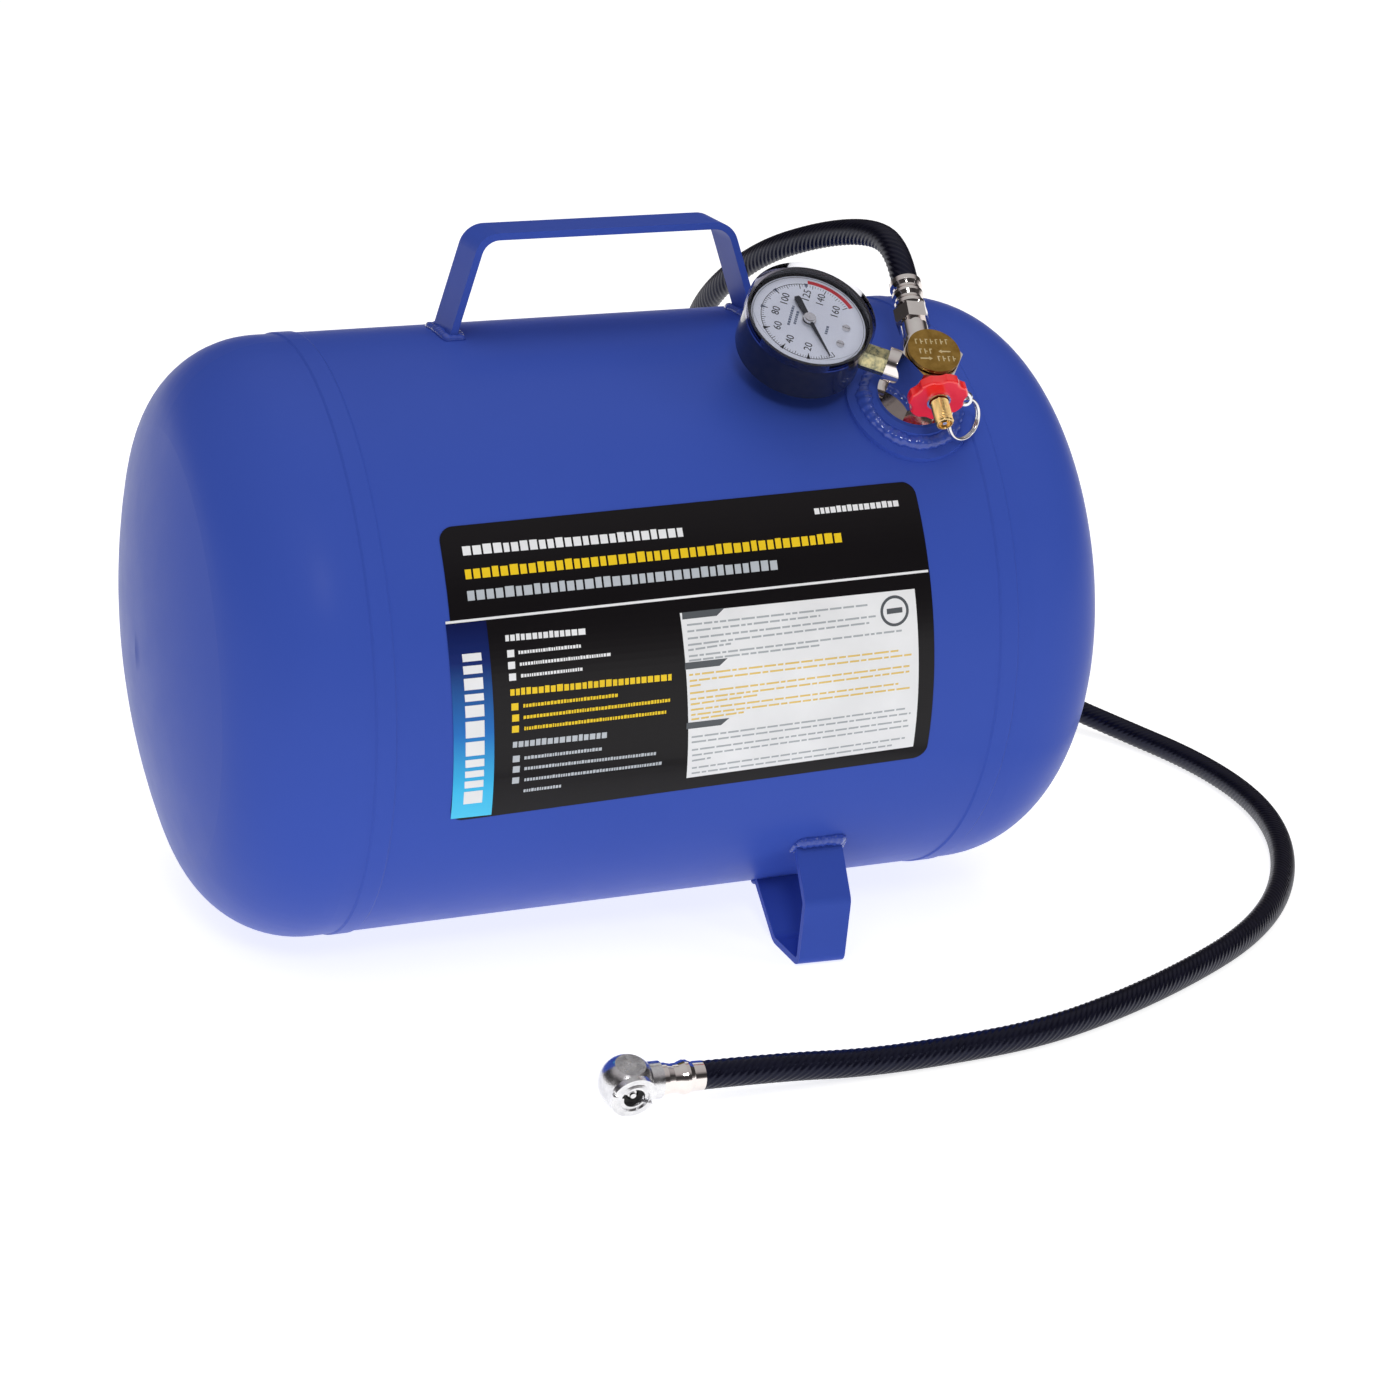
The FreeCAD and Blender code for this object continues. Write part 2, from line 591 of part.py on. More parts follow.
lens_loop = lines((0.0, -2.2), (gr - 2.0, -2.2), (gc + 0.06, -2.9), (gc + 0.06, -7.0), (gr, -7.0), (gr, -0.7),
                  (gr - 0.7, 0.0), (gr - 1.5, 0.0), (gr - 2.5, -1.0), (0.0, -1.0))
node("gauge_lens", turned("gauge_lens", lens_loop, GA))
dd = V["dial_drop"]
node("gauge_dial", cut(cyl("$dial_radius", 0.8, GA * place(0, 0, -dd - 0.8)), cyl(1.7, 4, GA * place(0, 0, -dd - 2))))
scr = []
for u, v in ((2.7, -15.8), (-6.8, -15.0)):
    scr.append(cut(cyl(1.7, 0.7, GA * place(u, v, -dd)), box(0.5, 4.0, 0.4, GA * place(u - 0.25, v - 2.0, -dd + 0.4))))
node("dial_screws", fuse(*scr))
# movement frame, socket and Bourdon tube behind the dial
plate = cut(box(17.0, 26.0, 1.2, GA * place(-8.5, -19.0, -10.0)), cyl(1.5, 4, GA * place(0, 0, -11.5)))
posts = [cyl(1.5, 2.0, GA * place(u, v, -dd - 0.8 - 2.3)) for u, v in ((2.7, -15.8), (-6.8, -15.0))]
backplate = box(15.0, 11.0, 1.2, GA * place(-7.5, -20.0, -13.9))
legs = [cyl(1.4, 2.9, GA * place(u, -17.0, -12.8)) for u in (-5.5, 5.5)]
node("movement_frame", fuse(plate, backplate, *(posts + legs)))
stem_out = s_ - V["gauge_boss_reach"]
sock = fuse(prism(5.75, stem_out - gc + 0.4, SK * place(0, 0, gc - 0.4)),
            cyl(5.2, 6.6, SK * place(0, 0, gc - 6.6)),
            cyl(4.85, 4.5, SK * place(0, 0, stem_out)),
            box(10.0, 7.0, 4.4, GA * place(1.5, -21.0, -20.2)))
tube = torus(19.0, 1.9, GA * place(0, 0, -18.2, (0, 0, 1), -62.0), 250.0)
node("gauge_socket", cut(cut(sock, cyl(1.6, 60, SK * place(0, 0, 5))), tube))
node("bourdon_tube", tube)

# pointer set: hub, hand and staff with its pinion turn together
pr, pt = V["pointer_reach"], V["pointer_tail"]
zero = -127.0
PT = GA * place(0, 0, -dd + 1.2, (0, 0, 1), -zero)
hand = padded("pointer", "XY_Plane", [lines((-0.9, 0.0), (-1.5, -pt + 1.2), (-1.0, -pt), (1.0, -pt), (1.5, -pt + 1.2), (0.9, 0.0),
                                            (0.8, 2.0), (0.18, pr), (-0.18, pr), (-0.8, 2.0))], 0.5, PT, False)
node("pointer", hand)
node("pointer_hub", fuse(cyl(3.0, 0.6, GA * place(0, 0, -dd + 0.6)), cyl(2.6, 0.9, GA * place(0, 0, -dd + 1.7)),
                         cyl(2.0, 0.3, GA * place(0, 0, -dd + 2.6)), cyl(0.8, 2.0, GA * place(0, 0, -dd + 0.4))))
pinion = fuse(cyl(1.0, 6.9 + 0.6, GA * place(0, 0, -dd + 0.6 - 7.5)), cyl(1.8, 1.1, GA * place(0, 0, -12.3)))
node("pinion_staff", pinion)
# toothed sector, driven by the tube end, meshes with the pinion
sec_loop = [("L", -2.2, 0.0), ("L", -2.2, -2.2), ("L", 2.2, -2.2), ("L", 2.2, 0.0), ("L", 6.9, 7.1),
            ("A", 0.0, 0.0, -6.9, 7.1, True, "x")]
SEC = GA * place(0, -12.0, -12.2, (0, 0, 1), -23.8)
sec = cut(padded("sector_gear", "XY_Plane", [sec_loop], 1.0, SEC, False), cyl(1.1, 6, SEC * place(0, 0, -2)))
node("sector_gear", sec)
node("sector_arbor", cyl(0.8, 2.6, GA * place(0, -12.0, -12.68)))

# ---------------------------------------------------------------- hose fitting at the manifold
HF = aim(MAN, ha, hz, 0)
fit = fuse(cyl(7.0, 3.0, HF * place(0, 0, 14.0)), cyl(5.9, 13.0, HF * place(0, 0, 14.0)), prism(7.7, 7.5, HF * place(0, 0, 27.0)))
node("hose_fitting", cut(fit, cyl(2.4, 30, HF * place(0, 0, 10))))
fer = lines((2.4, 34.5), (5.5, 34.5), (6.6, 36.0), (6.7, 37.6), (5.7, 39.2), (5.7, 40.2), (6.7, 41.8), (6.7, 43.2),
            (5.8, 44.8), (5.9, 45.6), (6.9, 47.1), (6.9, 49.5), (6.4, 50.0), (2.4, 50.0))
node("hose_ferrule_top", turned("hose_ferrule_top", fer, HF))

# ---------------------------------------------------------------- hose
route = [
    (110.309, -49.643, 283.672), (112.7, -36.889, 293.416), (112.6, -14.5, 299.1), (106.7, 28.3, 290.4), (95.9, 79.6, 270.9),
    (90.1, 127.5, 239.0), (102.1, 167.5, 205.5), (125.2, 199.3, 165.9), (156.9, 220.4, 125.8), (196.2, 228.2, 87.7),
    (239.0, 221.5, 54.6), (280.7, 200.7, 29.2), (316.4, 167.8, 13.2), (342.1, 126.3, 6.3), (355.5, 80.2, 5.8),
    (357.3, 30.9, 5.9), (347.1, -15.4, 6.0), (325.1, -61.7, 5.9), (294.7, -103.9, 5.9), (258.9, -137.4, 5.9),
    (215.6, -165.2, 6.0), (168.1, -189.7, 5.9), (122.7, -207.0, 5.8), (77.0, -213.3, 5.8), (38.0, -216.5, 6.4),
    (2.0, -218.7, 9.9), (-32.3, -220.0, 10.9)]


def tube_path(points):
    pts = [vec(*p) for p in points]
    edges = []
    radii = []
    last = pts[0]
    for i in range(1, len(pts) - 1):
        a, b, c = pts[i - 1], pts[i], pts[i + 1]
        u = (b - a)
        v = (c - b)
        la, lb = u.Length, v.Length
        u.normalize()
        v.normalize()
        turn = math.acos(max(-1, min(1, u.dot(v))))
        k = 0.45 * min(la, lb)
        r = k / math.tan(turn / 2)
        radii.append(r)
        s0, s1 = b - u * k, b + v * k
        bis = v - u
        bis.normalize()
        mid = b + bis * (r / math.cos(turn / 2) - r)
        edges.append(Part.LineSegment(last, s0).toShape())
        edges.append(Part.Arc(s0, mid, s1).toShape())
        last = s1
    edges.append(Part.LineSegment(last, pts[-1]).toShape())
    return Part.Wire(edges), radii


path, radii = tube_path(route)
print("hose length %.1f mm" % path.Length, "smallest bend radius %.1f mm" % min(radii), "all radii", [round(r) for r in radii])
d0 = vec(*route[1]) - vec(*route[0])
d0.normalize()
ring0 = Part.Wire([Part.Circle(vec(*route[0]), d0, V["hose_radius"]).toShape()])
hose_shape = path.makePipeShell([ring0], True, False)
if not hose_shape.Solids:
    hose_shape = Part.Solid(Part.Shell(hose_shape.Faces))
else:
    hose_shape = hose_shape.Solids[0]
want = math.pi * V["hose_radius"] ** 2 * path.Length
print("hose volume %.0f of %.0f" % (hose_shape.Volume, want))
hose = doc.addObject("Part::Feature", "hose_feature")
hose.Shape = hose_shape
node("hose", hose)

# ---------------------------------------------------------------- air chuck on the hose end
e1, e0 = vec(*route[-1]), vec(*route[-2])
ax = e1 - e0
ax.normalize()
CH = Placement(e1, Rotation(vec(0, 0, 1), vec(0, 0, 0), ax, "ZXY"))   # local Z away from the hose, local X up
fe = lines((0.0, 0.0), (5.9, 0.0), (6.0, 4.6), (6.3, 5.2), (6.85, 6.6), (6.9, 8.0), (6.3, 9.8), (5.95, 10.6), (5.9, 13.0), (6.5, 15.6),
           (6.6, 17.6), (6.2, 18.0), (0.0, 18.0))
node("hose_ferrule_end", turned("hose_ferrule_end", fe, CH))
CC = CH * place(0, 0, 31.2)                      # centre of the chuck ball
mouth = vec(0, 0, 1).cross(ax) * -1.0
mouth = vec(ax.y, -ax.x, 0)
if mouth.y > 0:
    mouth = mouth * -1.0
mouth.normalize()
dip = math.radians(18.0)
mouth = mouth * math.cos(dip) + vec(0, 0, -math.sin(dip))
upm = vec(0, 0, 1) - mouth * mouth.z
upm.normalize()
MO = Placement(CC.Base, Rotation(vec(0, 0, 0), upm, mouth, "ZYX"))  # local Z out of the mouth
ballb = common(sphere(11.2, MO), box(22.4, 18.8, 30.0, MO * place(-11.2, -9.4, -9.6)))
head = fuse(ballb, cyl(9.2, 6.2, MO), cyl(7.5, 6.2, CH * place(0, 0, 18.0)))
way = fuse(cyl(6.0, 12.0, MO * place(0, 0, 1.2)), cyl(2.2, 20.0, MO * place(0, 0, -7.0)))
node("chuck_body", cut(head, way))
nose = cut(cyl(9.3, 2.6, MO * place(0, 0, 6.2)), cyl(4.3, 6.0, MO * place(0, 0, 5.0)))
SLOT = MO * place(0, 0, 0, (0, 0, 1), -20.0)
node("chuck_nose", cut(nose, box(30.0, 2.0, 3.0, SLOT * place(-15.0, -1.0, 7.3))))
node("chuck_seal", cut(cyl(5.9, 3.2, MO * place(0, 0, 3.0)), cyl(2.6, 9.0, MO * place(0, 0, 1.0))))
node("chuck_pin", fuse(cyl(1.9, 6.4, MO * place(0, 0, -0.4)), cyl(1.2, 1.5, MO * place(0, 0, 6.0))))

# ---------------------------------------------------------------- check and write
doc.recompute()
bad = []
for o in doc.Objects:
    if "Invalid" in o.State or "Error" in o.State:
        bad.append("%s %s" % (o.Name, o.State))
for name, o in made.items():
    shp = o.Shape
    if shp.isNull() or not shp.isValid() or not shp.Solids:
        bad.append("%s null or invalid" % name)
if bad:
    raise RuntimeError("; ".join(bad))
os.makedirs("parts", exist_ok=True)
for name, o in made.items():
    o.Shape.exportStep(os.path.join("parts", name + ".step"))
total = None
for name, o in made.items():
    b = o.Shape.BoundBox
    print("%-24s vol %9.1f solids %d  x %.1f %.1f  y %.1f %.1f  z %.1f %.1f" % (
        name, o.Shape.Volume, len(o.Shape.Solids), b.XMin, b.XMax, b.YMin, b.YMax, b.ZMin, b.ZMax))
print(len(made), "parts")
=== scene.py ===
import bpy, bmesh, math
from mathutils import Vector, Matrix, noise


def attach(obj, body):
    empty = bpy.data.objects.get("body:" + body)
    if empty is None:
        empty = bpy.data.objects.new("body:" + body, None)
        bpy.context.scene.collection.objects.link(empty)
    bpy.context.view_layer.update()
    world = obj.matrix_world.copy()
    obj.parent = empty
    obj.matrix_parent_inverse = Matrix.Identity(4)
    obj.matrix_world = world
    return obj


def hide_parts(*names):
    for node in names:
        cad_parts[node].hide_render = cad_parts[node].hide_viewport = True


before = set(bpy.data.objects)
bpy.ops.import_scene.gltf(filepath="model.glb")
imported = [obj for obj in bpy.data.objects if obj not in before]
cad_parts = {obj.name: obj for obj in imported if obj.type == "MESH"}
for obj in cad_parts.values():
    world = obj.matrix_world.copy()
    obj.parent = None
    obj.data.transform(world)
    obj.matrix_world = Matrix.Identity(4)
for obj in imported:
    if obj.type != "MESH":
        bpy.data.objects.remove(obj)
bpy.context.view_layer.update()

# ------------------------------------------------------------------ frames (metres)
MM = 0.001


def axes(o, x, y, z):
    m = Matrix.Identity(4)
    for i, v in enumerate((x, y, z)):
        v = Vector(v).normalized()
        for r in range(3):
            m[r][i] = v[r]
    for r in range(3):
        m[r][3] = o[r] * MM
    return m


LEAN = math.radians(2.025)
TANK = Matrix.Translation((0, 0, 132.42 * MM)) @ Matrix.Rotation(-LEAN, 4, "Y")
PORT = TANK @ Matrix.Translation((107.16 * MM, 0, 0)) @ Matrix.Rotation(math.radians(37.12), 4, "X")
MAN = PORT @ Matrix.Translation((0, 0, 133.58 * MM)) @ Matrix.Rotation(math.radians(-6.0), 4, "Z")


def aim(az, z, reach):
    return (MAN @ Matrix.Translation((0, 0, z * MM)) @ Matrix.Rotation(math.radians(az), 4, "Z")
            @ Matrix.Rotation(math.radians(90), 4, "X") @ Matrix.Translation((0, 0, reach * MM)))


FS = aim(0, 21.2, 0)
HF = aim(176.3, 13.8, 0)
GT = math.radians(-112.8)
GA = (MAN @ Matrix.Translation((52.5 * math.sin(GT) * MM, -52.5 * math.cos(GT) * MM, 28.4 * MM))
      @ Matrix.Rotation(math.radians(180 - 112.8), 4, "Z"))
R = 127.0


def shell_point(x, s, lift=0.0):
    """Point on the vessel: x along its axis, s the arc length from the top towards the
    front, both in mm, lifted by lift."""
    a = s / 127.2
    r = R + lift
    return TANK @ Vector((x * MM, -r * math.sin(a) * MM, r * math.cos(a) * MM))


# ------------------------------------------------------------------ material helpers
def new_mat(name):
    m = bpy.data.materials.new(name)
    m.use_nodes = True
    nt = m.node_tree
    nt.nodes.clear()
    out = nt.nodes.new("ShaderNodeOutputMaterial")
    b = nt.nodes.new("ShaderNodeBsdfPrincipled")
    nt.links.new(b.outputs[0], out.inputs[0])
    return m, nt, b


def tex_noise(nt, scale, detail=3.0, rough=0.5, coord=None, stretch=None):
    tc = nt.nodes.new("ShaderNodeTexCoord")
    src = tc.outputs["Object"]
    if stretch is not None:
        mp = nt.nodes.new("ShaderNodeMapping")
        mp.inputs["Scale"].default_value = stretch
        nt.links.new(src, mp.inputs[0])
        src = mp.outputs[0]
    n = nt.nodes.new("ShaderNodeTexNoise")
    n.inputs["Scale"].default_value = scale
    n.inputs["Detail"].default_value = detail
    n.inputs["Roughness"].default_value = rough
    nt.links.new(src, n.inputs["Vector"])
    return n


def ramp(nt, fac, stops):
    r = nt.nodes.new("ShaderNodeValToRGB")
    els = r.color_ramp.elements
    while len(els) < len(stops):
        els.new(0.5)
    for e, (p, c) in zip(els, stops):
        e.position = p
        e.color = (c[0], c[1], c[2], 1.0)
    nt.links.new(fac, r.inputs[0])
    return r.outputs[0]


def bump(nt, b, height, strength, distance):
    n = nt.nodes.new("ShaderNodeBump")
    n.inputs["Strength"].default_value = strength
    n.inputs["Distance"].default_value = distance
    nt.links.new(height, n.inputs["Height"])
    nt.links.new(n.outputs[0], b.inputs["Normal"])
    return n


def span(nt, fac, lo, hi, to_lo, to_hi):
    n = nt.nodes.new("ShaderNodeMapRange")
    n.inputs["From Min"].default_value = lo
    n.inputs["From Max"].default_value = hi
    n.inputs["To Min"].default_value = to_lo
    n.inputs["To Max"].default_value = to_hi
    nt.links.new(fac, n.inputs["Value"])
    return n.outputs[0]


def paint_mat(name, col, dark, rough=0.34, peel=0.04, coat=0.02, coat_rough=0.30):
    m, nt, b = new_mat(name)
    n1 = tex_noise(nt, 9.0, 4.0, 0.55)
    nt.links.new(ramp(nt, n1.outputs["Fac"], ((0.3, dark), (0.7, col))), b.inputs["Base Color"])
    n2 = tex_noise(nt, 60.0, 4.0, 0.6)
    nt.links.new(span(nt, n2.outputs["Fac"], 0.3, 0.7, rough * 0.94, rough * 1.08), b.inputs["Roughness"])
    n3 = tex_noise(nt, 420.0, 2.0, 0.5)
    bump(nt, b, n3.outputs["Fac"], peel, 0.0004)
    b.inputs["Coat Weight"].default_value = coat
    b.inputs["Coat Roughness"].default_value = coat_rough
    b.inputs["Specular IOR Level"].default_value = 0.05
    return m


def metal_mat(name, col, col2, rough, rough2, scale=120.0, strength=0.06, stretch=None, detail=4.0, dist=0.0003):
    m, nt, b = new_mat(name)
    b.inputs["Metallic"].default_value = 1.0
    n1 = tex_noise(nt, scale, detail, 0.6, stretch=stretch)
    nt.links.new(ramp(nt, n1.outputs["Fac"], ((0.35, col2), (0.65, col))), b.inputs["Base Color"])
    nt.links.new(span(nt, n1.outputs["Fac"], 0.3, 0.7, rough, rough2), b.inputs["Roughness"])
    n2 = tex_noise(nt, scale * 5, 3.0, 0.5, stretch=stretch)
    bump(nt, b, n2.outputs["Fac"], strength, dist)
    return m


def plain_mat(name, col, col2, rough, metallic=0.0, scale=300.0, strength=0.05, coat=0.0, dist=0.0002):
    m, nt, b = new_mat(name)
    n1 = tex_noise(nt, scale, 3.0, 0.5)
    nt.links.new(ramp(nt, n1.outputs["Fac"], ((0.3, col2), (0.7, col))), b.inputs["Base Color"])
    nt.links.new(span(nt, n1.outputs["Fac"], 0.3, 0.7, rough * 0.85, rough * 1.15), b.inputs["Roughness"])
    b.inputs["Metallic"].default_value = metallic
    bump(nt, b, n1.outputs["Fac"], strength, dist)
    if coat:
        b.inputs["Coat Weight"].default_value = coat
        b.inputs["Coat Roughness"].default_value = 0.04
    return m


BLUE = (0.045, 0.090, 0.44)
BLUE2 = (0.042, 0.086, 0.425)
M = {}
M["paint"] = paint_mat("vessel_paint", BLUE, BLUE2)
M["weld"] = paint_mat("weld_paint", (0.045, 0.090, 0.44), (0.032, 0.066, 0.36), rough=0.12, peel=0.12, coat=1.0, coat_rough=0.03)
M["chrome"] = metal_mat("chrome_plate", (0.86, 0.81, 0.78), (0.78, 0.73, 0.70), 0.05, 0.10, 90.0, 0.02)
M["cast_chrome"] = metal_mat("chrome_cast", (0.80, 0.80, 0.81), (0.64, 0.64, 0.66), 0.14, 0.30, 220.0, 0.14)
M["zinc"] = metal_mat("zinc_yellow", (0.62, 0.55, 0.30), (0.16, 0.17, 0.12), 0.22, 0.42, 420.0, 0.2)
M["steel"] = metal_mat("bright_steel", (0.80, 0.80, 0.80), (0.68, 0.68, 0.69), 0.12, 0.24, 200.0, 0.05)
M["wire"] = metal_mat("ring_wire", (0.84, 0.82, 0.80), (0.66, 0.64, 0.62), 0.10, 0.20, 300.0, 0.04)
M["brass"] = metal_mat("brass_turned", (0.86, 0.60, 0.26), (0.72, 0.47, 0.18), 0.16, 0.28, 180.0, 0.08)
M["brass_disc"] = metal_mat("brass_disc", (0.46, 0.28, 0.07), (0.30, 0.17, 0.035), 0.30, 0.50, 260.0, 0.25, dist=0.0005)
M["brass_dark"] = metal_mat("brass_mark", (0.95, 0.80, 0.48), (0.80, 0.62, 0.30), 0.20, 0.35, 260.0, 0.1)
M["red"] = plain_mat("red_gloss", (0.92, 0.020, 0.022), (0.86, 0.012, 0.016), 0.22, 0.0, 90.0, 0.03, 0.8)
M["case"] = plain_mat("case_black", (0.012, 0.012, 0.014), (0.006, 0.006, 0.007), 0.20, 0.0, 300.0, 0.05, 0.6)
M["dial"] = plain_mat("dial_white", (0.80, 0.84, 0.90), (0.77, 0.81, 0.88), 0.45, 0.0, 400.0, 0.02)
M["ink"] = plain_mat("dial_ink", (0.008, 0.008, 0.01), (0.006, 0.006, 0.008), 0.5)
M["ink_red"] = plain_mat("dial_red", (0.62, 0.02, 0.03), (0.55, 0.015, 0.025), 0.5)
M["ink_grey"] = plain_mat("dial_grey", (0.14, 0.17, 0.24), (0.12, 0.15, 0.22), 0.5)
M["pointer"] = plain_mat("pointer_paint", (0.012, 0.014, 0.02), (0.01, 0.012, 0.016), 0.35)
M["rubber_seal"] = plain_mat("seal_rubber", (0.010, 0.010, 0.010), (0.006, 0.006, 0.006), 0.55, 0.0, 500.0, 0.1)


def lens_mat():
    m, nt, b = new_mat("lens_clear")
    out = [n for n in nt.nodes if n.type == "OUTPUT_MATERIAL"][0]
    tr = nt.nodes.new("ShaderNodeBsdfTransparent")
    tr.inputs[0].default_value = (0.97, 0.97, 0.99, 1)
    gl = nt.nodes.new("ShaderNodeBsdfGlossy")
    gl.inputs["Roughness"].default_value = 0.03
    gl.inputs[0].default_value = (0.55, 0.55, 0.62, 1)
    mix = nt.nodes.new("ShaderNodeMixShader")
    fr = nt.nodes.new("ShaderNodeFresnel")
    fr.inputs["IOR"].default_value = 1.22
    nt.links.new(fr.outputs[0], mix.inputs[0])
    nt.links.new(tr.outputs[0], mix.inputs[1])
    nt.links.new(gl.outputs[0], mix.inputs[2])
    nt.links.new(mix.outputs[0], out.inputs[0])
    nt.nodes.remove(b)
    return m


M["lens"] = lens_mat()


def hose_mat():
    """Black rubber over a braid; the fine diagonal ribs are in the tube's mesh, not in this material."""
    m, nt, b = new_mat("hose_rubber")
    n1 = tex_noise(nt, 160.0, 4.0, 0.6)
    nt.links.new(ramp(nt, n1.outputs["Fac"], ((0.3, (0.0015, 0.0015, 0.0060)), (0.7, (0.0035, 0.0035, 0.0110)))), b.inputs["Base Color"])
    nt.links.new(span(nt, n1.outputs["Fac"], 0.3, 0.7, 0.26, 0.34), b.inputs["Roughness"])
    n2 = tex_noise(nt, 900.0, 2.0, 0.5)
    bump(nt, b, n2.outputs["Fac"], 0.05, 0.0002)
    b.inputs["Specular IOR Level"].default_value = 0.30
    b.inputs["Specular Tint"].default_value = (0.62, 0.66, 1.0, 1.0)
    return m


M["hose"] = hose_mat()


def flat_mat(name, col, rough=0.30, coat=0.10):
    m, nt, b = new_mat(name)
    n1 = tex_noise(nt, 40.0, 3.0, 0.5)
    c2 = tuple(c * 0.93 for c in col)
    nt.links.new(ramp(nt, n1.outputs["Fac"], ((0.35, c2), (0.65, col))), b.inputs["Base Color"])
    n2 = tex_noise(nt, 300.0, 2.0, 0.5)
    bump(nt, b, n2.outputs["Fac"], 0.03, 0.0002)
    b.inputs["Roughness"].default_value = rough
    b.inputs["Coat Weight"].default_value = coat
    b.inputs["Coat Roughness"].default_value = 0.10
    b.inputs["Specular IOR Level"].default_value = 0.15
    return m


M["lab_black"] = flat_mat("label_black", (0.006, 0.005, 0.006))
M["lab_white"] = flat_mat("label_white", (0.86, 0.87, 0.88))
M["lab_yellow"] = flat_mat("label_yellow", (0.90, 0.62, 0.02))
M["lab_grey"] = flat_mat("label_grey", (0.52, 0.56, 0.60))
M["lab_tab"] = flat_mat("label_tab", (0.10, 0.11, 0.12))
M["lab_fine"] = flat_mat("label_fine", (0.42, 0.45, 0.47))
M["lab_fine_y"] = flat_mat("label_fine_yellow", (0.80, 0.58, 0.16))


def strip_mat():
    """Blue fade, dark at the top and cyan at the bottom, along the shell's height."""
    m, nt, b = new_mat("label_strip")
    tc = nt.nodes.new("ShaderNodeTexCoord")
    sp = nt.nodes.new("ShaderNodeSeparateXYZ")
    nt.links.new(tc.outputs["Object"], sp.inputs[0])
    v = span(nt, sp.outputs["Z"], 0.172, 0.085, 0.0, 1.0)
    nt.links.new(ramp(nt, v, ((0.0, (0.004, 0.006, 0.05)), (0.22, (0.006, 0.02, 0.14)), (0.55, (0.012, 0.16, 0.52)),
                              (0.85, (0.05, 0.52, 0.86)), (1.0, (0.08, 0.60, 0.90)))), b.inputs["Base Color"])
    b.inputs["Roughness"].default_value = 0.30
    b.inputs["Coat Weight"].default_value = 0.10
    b.inputs["Coat Roughness"].default_value = 0.10
    b.inputs["Specular IOR Level"].default_value = 0.15
    n2 = tex_noise(nt, 300.0, 2.0, 0.5)
    bump(nt, b, n2.outputs["Fac"], 0.03, 0.0002)
    return m


M["lab_strip"] = strip_mat()


# ------------------------------------------------------------------ mesh helpers
def make(name, verts, faces, mat, body="tank", smooth=True):
    me = bpy.data.meshes.new(name)
    me.from_pydata([tuple(v) for v in verts], [], faces)
    me.validate()
    me.update()
    o = bpy.data.objects.new(name, me)
    bpy.context.scene.collection.objects.link(o)
    me.materials.append(M[mat])
    if smooth:
        for p in me.polygons:
            p.use_smooth = True
    if body:
        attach(o, body)
    return o


def fix_normals(o):
    bm = bmesh.new()
    bm.from_mesh(o.data)
    bmesh.ops.recalc_face_normals(bm, faces=bm.faces)
    bm.to_mesh(o.data)
    bm.free()


def assign(node, mat):
    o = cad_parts[node]
    me = o.data
    if len(me.materials) == 0:
        me.materials.append(M[mat])
    for i in range(len(o.material_slots)):
        o.material_slots[i].material = M[mat]


class Slabs:
    """Many thin closed patches wrapped on the vessel, gathered in one mesh."""

    def __init__(self):
        self.v, self.f = [], []

    def poly(self, pts, base, top, grid=3.0):
        """pts: outline in (x, s), mm. Splits each edge in steps of at most grid along s, so that it can follow the
        curve, and returns the refined outline.
        """
        pts = list(pts)
        n = len(pts)
        # refine the outline
        out = []
        for i in range(n):
            a, b = pts[i], pts[(i + 1) % n]
            k = max(1, int(math.ceil(abs(b[1] - a[1]) / grid)))
            for j in range(k):
                t = j / k
                out.append((a[0] + (b[0] - a[0]) * t, a[1] + (b[1] - a[1]) * t))
        return out

    def quad(self, a, b, c, d, base, top, step=4.0):
        """a top left, b top right, c bottom right, d bottom left, in (x, s)."""
        k = max(1, int(math.ceil(max(abs(d[1] - a[1]), abs(c[1] - b[1])) / step)))
        o = len(self.v)
        for i in range(k + 1):
            t = i / k
            l = (a[0] + (d[0] - a[0]) * t, a[1] + (d[1] - a[1]) * t)
            r = (b[0] + (c[0] - b[0]) * t, b[1] + (c[1] - b[1]) * t)
            for lift in (base, top):
                self.v.append(shell_point(l[0], l[1], lift))
                self.v.append(shell_point(r[0], r[1], lift))
        for i in range(k):
            p, q = o + 4 * i, o + 4 * (i + 1)
            self.f.append((p + 2, p + 3, q + 3, q + 2))      # top
            self.f.append((p, q, q + 1, p + 1))              # bottom
            self.f.append((p, p + 2, q + 2, q))              # left
            self.f.append((p + 1, q + 1, q + 3, p + 3))      # right
        e = o + 4 * k
        self.f.append((o, o + 1, o + 3, o + 2))
        self.f.append((e, e + 2, e + 3, e + 1))

    def fan(self, outline, base, top):
        """Convex outline, small enough to be nearly flat."""
        o = len(self.v)
        n = len(outline)
        for lift in (base, top):
            for x, s in outline:
                self.v.append(shell_point(x, s, lift))
        self.f.append(tuple(o + n + i for i in range(n)))
        self.f.append(tuple(o + i for i in reversed(range(n))))
        for i in range(n):
            j = (i + 1) % n
            self.f.append((o + i, o + j, o + n + j, o + n + i))

    def build(self, name, mat):
        o = make(name, self.v, self.f, mat, "tank", smooth=False)
        fix_normals(o)
        return o


def rng(seed):
    s = [seed * 7919 + 12345]

    def nxt():
        s[0] = (s[0] * 1103515245 + 12345) % 2147483648
        return s[0] / 2147483648.0
    return nxt


